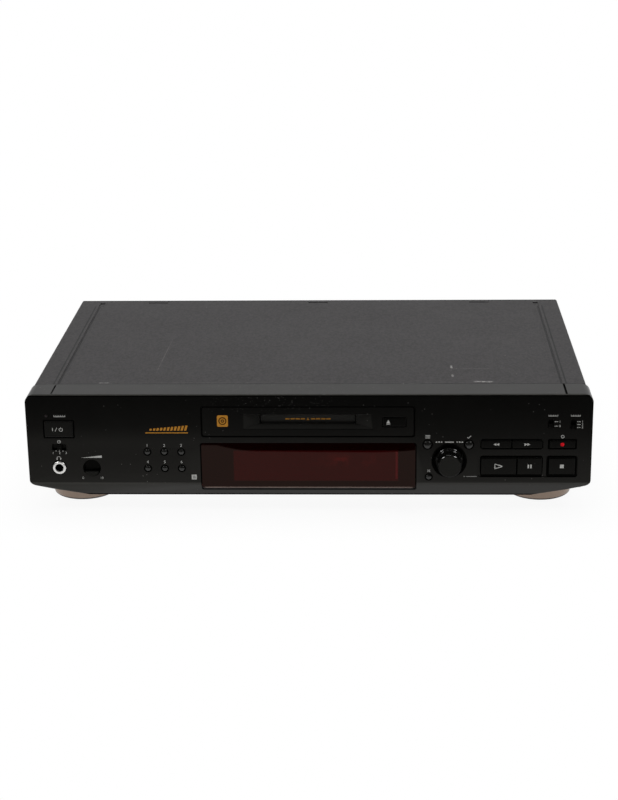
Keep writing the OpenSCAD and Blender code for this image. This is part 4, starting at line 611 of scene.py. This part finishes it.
FINISHES = {
    "cover": cover_paint(),
    "panel": front_plastic(),
    "key": key_plastic("key_plastic", 0.0022, 0.4, 0.1),
    "power": key_plastic("power_key_plastic", 0.0085, 0.4, 0.12),
    "button": key_plastic("button_plastic", 0.0095, 0.1, 0.12, 0.7),
    "slot": slot_plastic(),
    "flap": key_plastic("flap_plastic", 0.034, 0.3, 0.17),
    "knob": jog_plastic(),
    "level": level_plastic(),
    "window": smoked_window(),
    "foot": foot_champagne(),
    "rubber": rubber(),
    "black_screw": turned_metal("black_zinc", (0.06, 0.06, 0.065), 0.35),
    "brass": turned_metal("brass_parts", (0.72, 0.52, 0.22)),
    "phono": phono_metal(),
    "jack": jack_metal(),
    "chrome": turned_metal("bright_nickel", (0.86, 0.85, 0.83), 0.16),
    "zinc": plated_steel("zinc_plate", (0.56, 0.57, 0.58)),
    "rear": rear_sheet(),
    "steel": plated_steel("stamped_steel", (0.5, 0.5, 0.51), 3.0, 0.3),
    "sled": plated_steel("cast_alloy", (0.42, 0.43, 0.45), 1.2, 0.42),
    "front_board": circuit_board("front_board_mask", 1, rear_of("front_board") - FRONT_BOARD_FACE,
                                 *TRACK_GREEN),
    "main_board": circuit_board("main_board_mask", 2, DECK_BOARD_TOP, *TRACK_GREEN),
    "power_board": circuit_board("power_board_laminate", 2, DECK_BOARD_TOP,
                                 (0.28, 0.17, 0.07), (0.4, 0.26, 0.12)),
    "core": laminated_core(),
    "dark_moulding": moulding("filled_moulding", (0.07, 0.07, 0.075)),
    "acetal": moulding("white_acetal", (0.72, 0.7, 0.64), 0.34),
    "tube": moulding("tube_glass", (0.03, 0.05, 0.055), 0.14),
    "socket": moulding("socket_moulding", (0.015, 0.015, 0.016), 0.5),
    "lens": moulding("unlit_lens", (0.042, 0.034, 0.034), 0.2),
    "film": flat_cable_film(),
    "white_ink": ink("pale_ink", (0.64, 0.64, 0.61)),
    "dim_ink": ink("dim_ink", (0.34, 0.34, 0.33)),
    "gold_ink": ink("gold_ink", (0.66, 0.29, 0.035)),
    "red_ink": ink("red_ink", (0.90, 0.005, 0.016)),
    "red_plug": moulding("red_insulator", (0.5, 0.02, 0.015), 0.35),
    "white_plug": moulding("white_insulator", (0.75, 0.74, 0.7), 0.35),
    "orange_plug": moulding("orange_insulator", (0.6, 0.2, 0.02), 0.35),
}


# ---------------------------------------------------------------------------
# Meshes
# ---------------------------------------------------------------------------

EDGE_STEPS, SHARP = 2, 38.0          # facets of an eased edge, and the folds that are eased
SMOOTH, FRONT_SMOOTH = 42.0, 33.0    # folds below this shade as round; the chin's fold is soft
WELD, COPLANAR = 0.002, 0.6          # millimetres and degrees, to clean up a solid's mesh


def put(name, data):
    """A new object in the scene."""
    made = bpy.data.objects.new(name, data)
    bpy.context.scene.collection.objects.link(made)
    return made


def applied(shape):
    """An object's mesh with its modifiers applied."""
    bpy.context.view_layer.update()
    seen = shape.evaluated_get(bpy.context.evaluated_depsgraph_get())
    return bpy.data.meshes.new_from_object(seen)


def settle(mesh, name, finish, body, smooth):
    """Makes a finished piece of a mesh: smooth where it is round, and riding on its body."""
    piece = put(name, mesh)
    mesh.materials.clear()
    mesh.materials.append(FINISHES[finish])
    mesh.polygons.foreach_set("use_smooth", [True] * len(mesh.polygons))
    work = bmesh.new()
    work.from_mesh(mesh)
    for edge in work.edges:
        folded = edge.calc_face_angle(0.0) >= math.radians(smooth)
        edge.smooth = len(edge.link_faces) == 2 and not folded
    work.to_mesh(mesh)
    work.free()
    flats = piece.modifiers.new("Flats", "WEIGHTED_NORMAL")
    flats.mode, flats.weight, flats.keep_sharp = "FACE_AREA", 100, True
    piece.data = applied(piece)
    piece.modifiers.clear()
    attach(piece, body)
    return piece


def eased(node, finish, width):
    """Replaces a CAD node with a copy whose sharp edges are rounded by width millimetres."""
    mesh = frame["nodes"][node].data.copy()
    work = bmesh.new()
    work.from_mesh(mesh)
    bmesh.ops.remove_doubles(work, verts=work.verts, dist=WELD * MM)
    bmesh.ops.dissolve_limit(work, angle_limit=math.radians(COPLANAR),
                             verts=work.verts, edges=work.edges)
    work.to_mesh(mesh)
    work.free()
    shape = put("shape", mesh)
    bevel = shape.modifiers.new("Edges", "BEVEL")
    bevel.width, bevel.segments = width * MM, EDGE_STEPS
    bevel.limit_method, bevel.angle_limit = "ANGLE", math.radians(SHARP)
    bevel.use_clamp_overlap = False
    rounded = applied(shape)
    bpy.data.objects.remove(shape)
    smooth = FRONT_SMOOTH if node == "front_panel" else SMOOTH
    piece = settle(rounded, node + "_eased", finish, body_of(node), smooth)
    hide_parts(node)


def dress(node, finish):
    """Gives a CAD node its finish and leaves its shape alone."""
    source = frame["nodes"][node]
    if not source.material_slots:
        source.data.materials.append(FINISHES[finish])
    for held in source.material_slots:
        held.material = FINISHES[finish]


# Each node's finish, and how far its edges are eased
EASED = {
    "top_cover": ("cover", 0.14), "front_panel": ("panel", 0.22), "slot_panel": ("slot", 0.32),
    "display_window": ("window", 0.3), "slot_flap": ("flap", 0.25), "eject_button": ("key", 0.25),
    "power_button": ("power", 0.35), "rewind_button": ("key", 0.3), "forward_button": ("key", 0.3),
    "record_button": ("key", 0.3), "play_button": ("key", 0.35), "pause_button": ("key", 0.35),
    "stop_button": ("key", 0.35), "menu_button": ("button", 0.3), "yes_button": ("button", 0.3),
    "clear_button": ("button", 0.25), "jog_knob": ("knob", 0.3),
    "phone_level_knob": ("level", 0.25), "timer_switch": ("key", 0.15),
    "record_mode_switch": ("key", 0.15), "input_switch": ("key", 0.15),
    "headphone_jack": ("jack", 0.2), "feet": ("foot", 0.4), "foot_pads": ("rubber", 0.2),
    "rear_panel": ("rear", 0.2), "mains_inlet": ("socket", 0.3), "phono_sockets": ("phono", 0.2),
    "optical_sockets": ("socket", 0.2),
    **{node: ("button", 0.25) for node in SMALL_BUTTONS},
}
DRESSED = {
    "chassis_base": "zinc", "front_bulkhead": "zinc", "case_screws": "black_screw",
    "inner_screws": "brass", "standby_lens": "lens", "jog_plunger": "acetal",
    "front_board": "front_board", "display_tube": "tube", "main_board": "main_board",
    "power_board": "power_board", "transformer": "core", "mechanism_bracket": "zinc",
    "mechanism_dampers": "rubber", "mechanism_frame": "dark_moulding",
    "cartridge_holder": "steel", "load_cam": "acetal", "load_gear": "acetal",
    "load_pinion": "brass", "drive_motors": "steel", "spindle_motor": "steel",
    "turntable": "dark_moulding", "optical_pickup": "sled", "guide_rods": "chrome",
    "lead_screw": "brass", "record_head_arm": "steel", "flat_cables": "film",
}
for node, (finish, width) in EASED.items():
    eased(node, finish, width)
for node, finish in DRESSED.items():
    dress(node, finish)


# ---------------------------------------------------------------------------
# Shapes of the printed marks
# ---------------------------------------------------------------------------

INK_HEIGHT, INK_ROOT = 0.04, 0.02    # how far a mark stands out, and reaches into, its surface
DIGIT_SIZE = 1.38                    # font size for numerals one millimetre high


def stroke(points, width):
    """Quads along a line of points, one for each stretch."""
    quads = []
    for (x0, z0), (x1, z1) in zip(points, points[1:]):
        length = math.hypot(x1 - x0, z1 - z0)
        sx, sz = -(z1 - z0) / length * width / 2, (x1 - x0) / length * width / 2
        quads.append([(x0 + sx, z0 + sz), (x0 - sx, z0 - sz),
                      (x1 - sx, z1 - sz), (x1 + sx, z1 + sz)])
    return quads


def arc_points(radius, start, end, steps=18):
    turns = [math.radians(start + (end - start) * i / steps) for i in range(steps + 1)]
    return [(radius * math.cos(t), radius * math.sin(t)) for t in turns]


def ring(radius, width, steps=18):
    return stroke(arc_points(radius, 0, 360, steps), width)


def rectangle(w, h):
    return [(-w / 2, -h / 2), (w / 2, -h / 2), (w / 2, h / 2), (-w / 2, h / 2)]


def disc(radius, steps=20):
    return arc_points(radius, 0, 360 - 360 / steps, steps - 1)


def rounded_plate(half_w, half_h, corner):
    """A rectangle whose corners are arcs of four points."""
    return [(sx * (half_w - corner) + x, sz * (half_h - corner) + z)
            for sx, sz, start in ((1, -1, -90), (1, 1, 0), (-1, 1, 90), (-1, -1, 180))
            for x, z in arc_points(corner, start, start + 90, 3)]


def triangle(size, direction=1):
    """A triangle that points right, or left where direction is -1."""
    tip = direction * size / 2
    return [(-tip, -size * 0.5), (tip, 0), (-tip, size * 0.5)]


def moved(shapes, x, z, turn=0.0):
    c, s = math.cos(math.radians(turn)), math.sin(math.radians(turn))
    return [[(px * c - pz * s + x, px * s + pz * c + z) for px, pz in shape] for shape in shapes]


def row(shape, count, pitch, x, z):
    """A row of equal shapes, the first at x."""
    return [moved([shape], x + pitch * i, z)[0] for i in range(count)]


def pair(shape, apart):
    return row(shape, 2, 2 * apart, -apart, 0)


def digit(characters, height):
    """Plain numerals as flat polygons, taken from Blender's own font."""
    curve = bpy.data.curves.new("numeral", "FONT")
    curve.body, curve.size = characters, height * DIGIT_SIZE
    curve.align_x, curve.align_y = "CENTER", "CENTER"
    text = put("numeral", curve)
    bpy.context.view_layer.update()
    mesh = text.to_mesh()
    shapes = [[tuple(mesh.vertices[i].co[:2]) for i in face.vertices] for face in mesh.polygons]
    text.to_mesh_clear()
    bpy.data.objects.remove(text)
    bpy.data.curves.remove(curve)
    return shapes


def printed(name, body, finish, y, shapes):
    """Lays ink shapes, drawn in X and Z, on a surface that faces the front at y."""
    work = bmesh.new()
    for shape in shapes:
        area = sum(a[0] * b[1] - b[0] * a[1] for a, b in zip(shape, shape[1:] + shape[:1]))
        outline = shape if area > 0 else shape[::-1]
        front, rear = ([work.verts.new((px * MM, level * MM, pz * MM)) for px, pz in outline]
                       for level in (y - INK_HEIGHT, y + INK_ROOT))
        work.faces.new(front)
        work.faces.new(rear[::-1])
        for i in range(len(front)):
            j = (i + 1) % len(front)
            work.faces.new([front[j], front[i], rear[i], rear[j]])
    mesh = bpy.data.meshes.new(name)
    work.to_mesh(mesh)
    work.free()
    settle(mesh, name, finish, body, 10.0)


# ---------------------------------------------------------------------------
# Marks on the front, the slot's panel and the keys
# ---------------------------------------------------------------------------

def number_marks():
    """A numeral over each small button."""
    marks = []
    for number, node in enumerate(SMALL_BUTTONS, 1):
        x, _, z = centre(node)
        marks += moved(digit(str(number), 2.3), x, z + 5.2)
    return marks


def timer_marks():
    """A clock over the timer switch, and its three stops under it."""
    x, _, z = centre("timer_switch")
    marks = moved(ring(1.2, 0.36) + stroke([(0, 0.7), (0, 0), (0.6, 0)], 0.34), x, z + 4.5)
    for i in (-1, 0, 1):
        marks += moved([triangle(0.9)], x + 2.6 * i, z - 2.9, 90)
        marks += moved(digit(str(i + 2), 1.9), x + 5.0 * i, z - 4.7)
    return marks


def phone_marks():
    """Headphones over the socket; a rising wedge over the level knob, and its two ends."""
    x, _, z = centre("headphone_jack")
    band = stroke(arc_points(1.4, 0, 180), 0.36)
    marks = moved(band + row(rectangle(0.8, 1.3), 2, 2.8, -1.4, -0.5), x, z + 7.7)
    x, _, z = centre("phone_level_knob")
    marks += moved([[(-8.0, -0.35), (8.0, -0.35), (8.0, 1.5)]], x, z + 8.7)
    for side, end in ((-1, "0"), (1, "10")):
        marks += moved(digit(end, 1.9), x + 7.2 * side, z - 8.2)
    return marks


def menu_marks():
    """A list, a tick and a cross by the menu, yes and clear buttons."""
    x, _, z = centre("menu_button")
    marks = [moved([rectangle(3.6, 0.45)], x, z + 6.3 + 1.0 * i)[0] for i in (-1, 0, 1)]
    x, _, z = centre("yes_button")
    marks += moved(stroke([(-1.3, 0.1), (-0.4, -0.8), (1.4, 1.1)], 0.5), x, z + 5.9)
    x, _, z = centre("clear_button")
    cross = stroke([(-1.0, -0.9), (1.0, 0.9)], 0.45) + stroke([(-1.0, 0.9), (1.0, -0.9)], 0.45)
    return marks + moved(cross, x, z + 4.9)


def jog_marks():
    """A bar over the jog knob, with three arrows at each end."""
    x, _, z = centre("jog_knob")
    marks = []
    for side in (-1, 1):
        marks += row(triangle(1.5, side), 3, side * 1.9, x + side * 6.2, z + 15.1)
    return marks + moved(stroke([(-3.4, 0), (3.4, 0)], 0.8), x, z + 15.1)


def push_marks():
    """An arrow and a bar below the jog knob, at its right: it pushes in."""
    x, _, z = centre("jog_knob")
    return (moved([rectangle(8.0, 0.5)], x + 17.0, z - 12.8)
            + moved([triangle(1.2)], x + 11.8, z - 12.8))


def switch_marks(node, stops, pitch):
    """The stops at the right of an upright switch, and a ruled bar over it."""
    x, top = centre(node)[0], top_of(node) - 1.4
    marks = []
    for i in range(stops):
        z = top - 0.9 - pitch * i
        marks += moved([triangle(0.9, -1)], x + 3.1, z) + moved([rectangle(1.6, 0.36)], x + 4.6, z)
        marks += moved(digit(str(i + 1), 1.8), x + 6.8, z)
    marks += moved(stroke([(-3.6, 0), (3.6, 0)], 0.5), x + 1.6, top + 3.6)
    return marks + row(rectangle(0.4, 1.3), 5, 1.7, x - 1.8, top + 3.9)


def record_marks():
    """A ring over the record button."""
    x, _, z = centre("record_button")
    return moved(ring(1.1, 0.45), x, z + 6.1)


def standby_marks():
    """A ruled bar beside the standby lens."""
    x, _, z = centre("standby_lens")
    return (moved([rectangle(9.0, 0.55)], x + 10.2, z - 0.5)
            + row(rectangle(0.4, 1.4), 6, 1.7, x + 5.95, z))


BARS, BARS_PITCH = (-120.8, 66.2), 2.65    # lower left corner of the first bar, and their pitch


def rising_bars():
    """Slanted bars of rising height over a rule, left of the slot's panel."""
    marks, (x, z) = [], BARS
    for i in range(11):
        tall = 1.5 + 0.26 * i
        slant = [(0.0, 0.0), (1.7, 0.0), (1.7 + 0.3 * tall, tall), (0.3 * tall, tall)]
        marks += moved([slant], x + BARS_PITCH * i, z)
    return marks + moved([rectangle(32.6, 0.7)], x + 13.2, z - 1.8)


EYE = (-87.7, 28.4)    # middle of the infra-red eye, left of the window


def print_front():
    """The marks on the moulded front: plain symbols, numerals and bars beside the controls."""
    pale = (number_marks() + timer_marks() + phone_marks() + menu_marks() + jog_marks()
            + switch_marks("record_mode_switch", 2, 3.6) + switch_marks("input_switch", 3, 2.3)
            + record_marks() + standby_marks())
    printed("front_marks_pale", DECK, "white_ink", FACE, pale)
    printed("front_marks_dim", DECK, "dim_ink", FACE, push_marks())
    printed("front_marks_gold", DECK, "gold_ink", FACE, rising_bars())
    # The infra-red eye is a pale tile with a grey centre
    printed("remote_eye", DECK, "white_ink", FACE, moved([rectangle(3.9, 3.9)], *EYE))
    printed("remote_eye_centre", DECK, "dim_ink", FACE - INK_HEIGHT,
            moved([rectangle(2.1, 2.1)], *EYE))


def flap_front():
    """The front plane of the flap's plate, behind its round pivots."""
    shape = frame["nodes"]["slot_flap"].data
    faces = [f for f in shape.polygons if f.normal.y < -0.99]
    return max(faces, key=lambda f: f.area).center.y / MM


SIGN = (-64.75, 73.9)    # middle of the gold sign, left of the slot


def print_slot_panel():
    """A plain ring sign left of the slot, and a loading arrow in a row of bars on the flap."""
    face = front_of("slot_panel")
    printed("slot_sign", DECK, "gold_ink", face, moved([rounded_plate(4.15, 4.6, 1.1)], *SIGN))
    rings = ring(2.7, 0.75, 28) + ring(1.0, 0.7, 16)
    printed("slot_sign_disc", DECK, "key", face - INK_HEIGHT, moved(rings, *SIGN))
    x, _, z = centre("slot_flap")
    bar, pitch, low = rectangle(3.1, 1.1), 3.9, z - 1.6
    bars = row(bar, 4, pitch, x - 4 * pitch, low) + row(bar, 4, pitch, x + pitch, low)
    printed("flap_arrow", body_of("slot_flap"), "gold_ink", flap_front(),
            bars + moved([triangle(2.0)], x, low, 90))


def print_keys():
    """The transport symbols, each on its own key."""
    def on(node, shapes, finish="white_ink"):
        x, _, z = centre(node)
        printed(node + "_mark", body_of(node), finish, front_of(node), moved(shapes, x, z))

    # Power: a bar, a slash and a broken ring with a bar in its gap
    broken_ring = stroke(arc_points(1.35, 125, 415), 0.45) + stroke([(0, 0.4), (0, 1.9)], 0.45)
    on("power_button", stroke([(-4.6, -1.2), (-4.6, 1.2)], 0.5)
       + stroke([(-2.7, -1.4), (-1.3, 1.4)], 0.4) + moved(broken_ring, 1.7, -0.1))
    on("rewind_button", pair(triangle(2.2, -1), 1.1))
    on("forward_button", pair(triangle(2.2), 1.1))
    on("record_button", [disc(1.5)], "red_ink")
    on("play_button", stroke([(-2.9, -1.9), (-2.9, 1.9), (3.1, 0.0), (-2.9, -1.9)], 0.6))
    on("pause_button", pair(rectangle(1.1, 3.0), 1.0))
    on("stop_button", [rectangle(2.9, 2.9)])
    on("eject_button", moved([triangle(2.8)], -4.6, 0.6, 90)
       + moved([rectangle(2.8, 0.6)], -4.6, -1.5))


# ---------------------------------------------------------------------------
# Coloured rings of the phono sockets
# ---------------------------------------------------------------------------

RING_RADIUS, RING_WIDTH = 2.55, 0.7    # of a ring's middle line, and of its round section
RING_DEPTH = 0.45                      # of its middle line, behind the barrel's end
SOCKET_PITCH = 18.0                    # from socket to socket, across and up
SOCKET_EDGE, COAX_EDGE = 8.0, 7.0      # from the outermost sockets to their blocks' edges


def ring_tree():
    """Sets a coloured ring on each point of a mesh. Returns the tree and its inputs."""
    group = bpy.data.node_groups.new("SocketRings", "GeometryNodeTree")
    add = group.interface.new_socket
    add("Geometry", in_out="INPUT", socket_type="NodeSocketGeometry")
    inputs = {}
    for label, size in (("Middle Radius", RING_RADIUS), ("Ring Width", RING_WIDTH)):
        inputs[label] = add(label, in_out="INPUT", socket_type="NodeSocketFloat")
        inputs[label].default_value = size * MM
    inputs["Finish"] = add("Finish", in_out="INPUT", socket_type="NodeSocketMaterial")
    add("Geometry", in_out="OUTPUT", socket_type="NodeSocketGeometry")

    g = Tree(group)
    start = g.node("NodeGroupInput")
    circle = g.node("GeometryNodeCurvePrimitiveCircle", {},
                    {"Resolution": 40, "Radius": start.other("Middle Radius")})
    section = g.node("GeometryNodeCurvePrimitiveCircle", {},
                     {"Resolution": 8, "Radius": start.other("Ring Width")})
    tube = g.node("GeometryNodeCurveToMesh", {}, {"Curve": circle, "Profile Curve": section})
    points = g.node("GeometryNodeMeshToPoints", {}, {"Mesh": start})
    placed = g.node("GeometryNodeInstanceOnPoints", {},
                    {"Points": points, "Instance": tube, "Rotation": (math.pi / 2, 0.0, 0.0)})
    real = g.node("GeometryNodeRealizeInstances", {}, {"Geometry": placed})
    coloured = g.node("GeometryNodeSetMaterial", {},
                      {"Geometry": real, "Material": start.other("Finish")})
    g.node("NodeGroupOutput", {}, {"Geometry": coloured})
    return group, inputs


def insulators():
    """Coloured plastic rings round the middle hole of each phono socket."""
    group, inputs = ring_tree()
    (block_left, _, _), (block_right, rear, block_top) = box("phono_sockets")
    right, upper = block_right - SOCKET_EDGE, block_top - SOCKET_EDGE
    left, lower, coax = right - SOCKET_PITCH, upper - SOCKET_PITCH, block_left + COAX_EDGE
    places = {"red_plug": [(right, lower), (left, lower)],
              "white_plug": [(right, upper), (left, upper)], "orange_plug": [(coax, lower)]}
    for finish, middles in places.items():
        seeds = bpy.data.meshes.new("seeds")
        seeds.from_pydata([(x * MM, (rear - RING_DEPTH) * MM, z * MM) for x, z in middles],
                          [], [])
        holder = put("seeds", seeds)
        rings = holder.modifiers.new("Rings", "NODES")
        rings.node_group = group
        rings[inputs["Finish"].identifier] = FINISHES[finish]
        mesh = applied(holder)
        bpy.data.objects.remove(holder)
        piece = settle(mesh, finish + "_rings", finish, DECK, 50.0)


print_front()
print_slot_panel()
print_keys()
insulators()


# ---------------------------------------------------------------------------
# Camera, light and floor, in metres
# ---------------------------------------------------------------------------

CAMERA_PLACE = (0.05405, -1.41555, 0.52653)
PITCH, YAW, ROLL = 18.711, -2.352, -0.808    # degrees
FILM, LENS = 36.0, 81.04                     # millimetres
FRONT_ROOM = 0.012                           # how bright the room in front of the deck is
WHITE = (1.0, 1.0, 1.0)


def set_camera():
    """The photograph's viewing angle: a long lens, a little above and left of the middle."""
    pitch, yaw, roll = (math.radians(angle) for angle in (PITCH, YAW, ROLL))
    forwards = Matrix(((1, 0, 0), (0, 0, -1), (0, 1, 0)))
    look = (Matrix.Rotation(roll, 3, "Z") @ Matrix.Rotation(pitch, 3, "X") @ forwards
            @ Matrix.Rotation(yaw, 3, "Z"))
    turn = look.transposed() @ Matrix.Diagonal((1, -1, -1))
    data = bpy.data.cameras.new("camera")
    data.sensor_fit, data.sensor_width, data.sensor_height = "AUTO", FILM, FILM
    data.lens = LENS
    data.clip_start, data.clip_end = 0.05, 30.0
    camera = put("camera", data)
    camera.matrix_world = Matrix.Translation(CAMERA_PLACE) @ turn.to_4x4()
    bpy.context.scene.camera = camera


def add_softbox(name, place, aim, size, power):
    data = bpy.data.lights.new(name, "AREA")
    data.shape, data.size, data.energy = "SQUARE", size, power
    lamp = put(name, data)
    lamp.location = place
    lamp.rotation_euler = (Vector(aim) - Vector(place)).to_track_quat("-Z", "Y").to_euler()


def backdrop(f):
    """1 for the rays that see the backdrop: camera, glossy and transmission rays."""
    ray = f.node("ShaderNodeLightPath")
    return most([ray.other(f"Is {kind} Ray") for kind in ("Camera", "Glossy", "Transmission")])


def set_world():
    """A white sweep behind the deck and a dim room in front; plain grey light all round."""
    f = Finish("studio", "worlds")
    way = f.node("ShaderNodeSeparateXYZ", {},
                 {0: f.node("ShaderNodeTexCoord", output="Generated")})
    back, up = way.other("Y"), way.other("Z")
    sweep = back.rise(0.25, 0.6) * (1 - 0.6 * up.rise(0.35, 0.95))
    in_view = f.node("ShaderNodeLightPath", output="Is Camera Ray")
    room = (FRONT_ROOM + (1 - FRONT_ROOM) * sweep).at_least(in_view)
    shown = f.node("ShaderNodeBackground", {}, {"Color": WHITE, "Strength": room})
    fill = f.node("ShaderNodeBackground", {},
                  {"Color": WHITE, "Strength": 0.22 + 0.3 * back.rise(-0.6, 0.8)})
    bpy.context.scene.world = f.close(
        f.node("ShaderNodeMixShader", {}, {0: backdrop(f), 1: fill, 2: shown}),
        "ShaderNodeOutputWorld")


def paper():
    """Pale paper that looks white, and shades off a little under the deck."""
    f = Finish("paper")
    x, y, _ = f.xyz()
    sheet = f.node("ShaderNodeBsdfDiffuse", {},
                   {"Color": f.noise(0.8, 3.0).blend((0.6, 0.6, 0.6), (0.66, 0.66, 0.66))})
    white = f.node("ShaderNodeEmission", {}, {"Color": WHITE, "Strength": 1.0})
    away = distance((abs(x) - 190.0).at_least(0.0), (abs(y) - 120.0).at_least(0.0))
    white_part = backdrop(f) * (0.93 + 0.07 * away.rise(0.0, 80.0))
    return f.close(f.node("ShaderNodeMixShader", {}, {0: white_part, 1: sheet, 2: white}))


FLOOR_HALF, FLOOR_REAR, FLOOR_STEPS = 1.4, 1.6, 400


def floor_front(x):
    """The sheet's curved front edge, which the window mirrors as the band along its top."""
    def along(start, end):
        return min(1.1, max(0.0, (x - start) / (end - start)))

    return (-0.2603 - 0.0023 * along(0.045, -0.045) - 0.0125 * along(-0.045, -0.08) ** 2
            - 0.0055 * along(0.045, 0.085) ** 2)


def lay_floor():
    """A sheet of paper under the deck, whose front edge lies a hand's width before it."""
    across = [-FLOOR_HALF + 2 * FLOOR_HALF * i / FLOOR_STEPS for i in range(FLOOR_STEPS + 1)]
    near = [(x, floor_front(x), 0.0) for x in across]
    far = [(x, FLOOR_REAR, 0.0) for x in across]
    faces = [(i, i + 1, FLOOR_STEPS + 2 + i, FLOOR_STEPS + 1 + i) for i in range(FLOOR_STEPS)]
    mesh = bpy.data.meshes.new("floor")
    mesh.from_pydata(near + far, [], faces)
    mesh.materials.append(paper())
    put("floor", mesh)


set_camera()
set_world()
lay_floor()
add_softbox("softbox_left", (-1.2, -0.6, 1.35), (-0.05, 0.0, 0.05), 0.5, 11.0)
add_softbox("softbox_right", (1.2, -0.5, 1.35), (0.05, 0.0, 0.05), 0.5, 11.0)
add_softbox("softbox_top", (0.0, 0.3, 1.7), (0.0, 0.0, 0.0), 0.9, 11.0)
bpy.context.scene.view_settings.view_transform = "Standard"
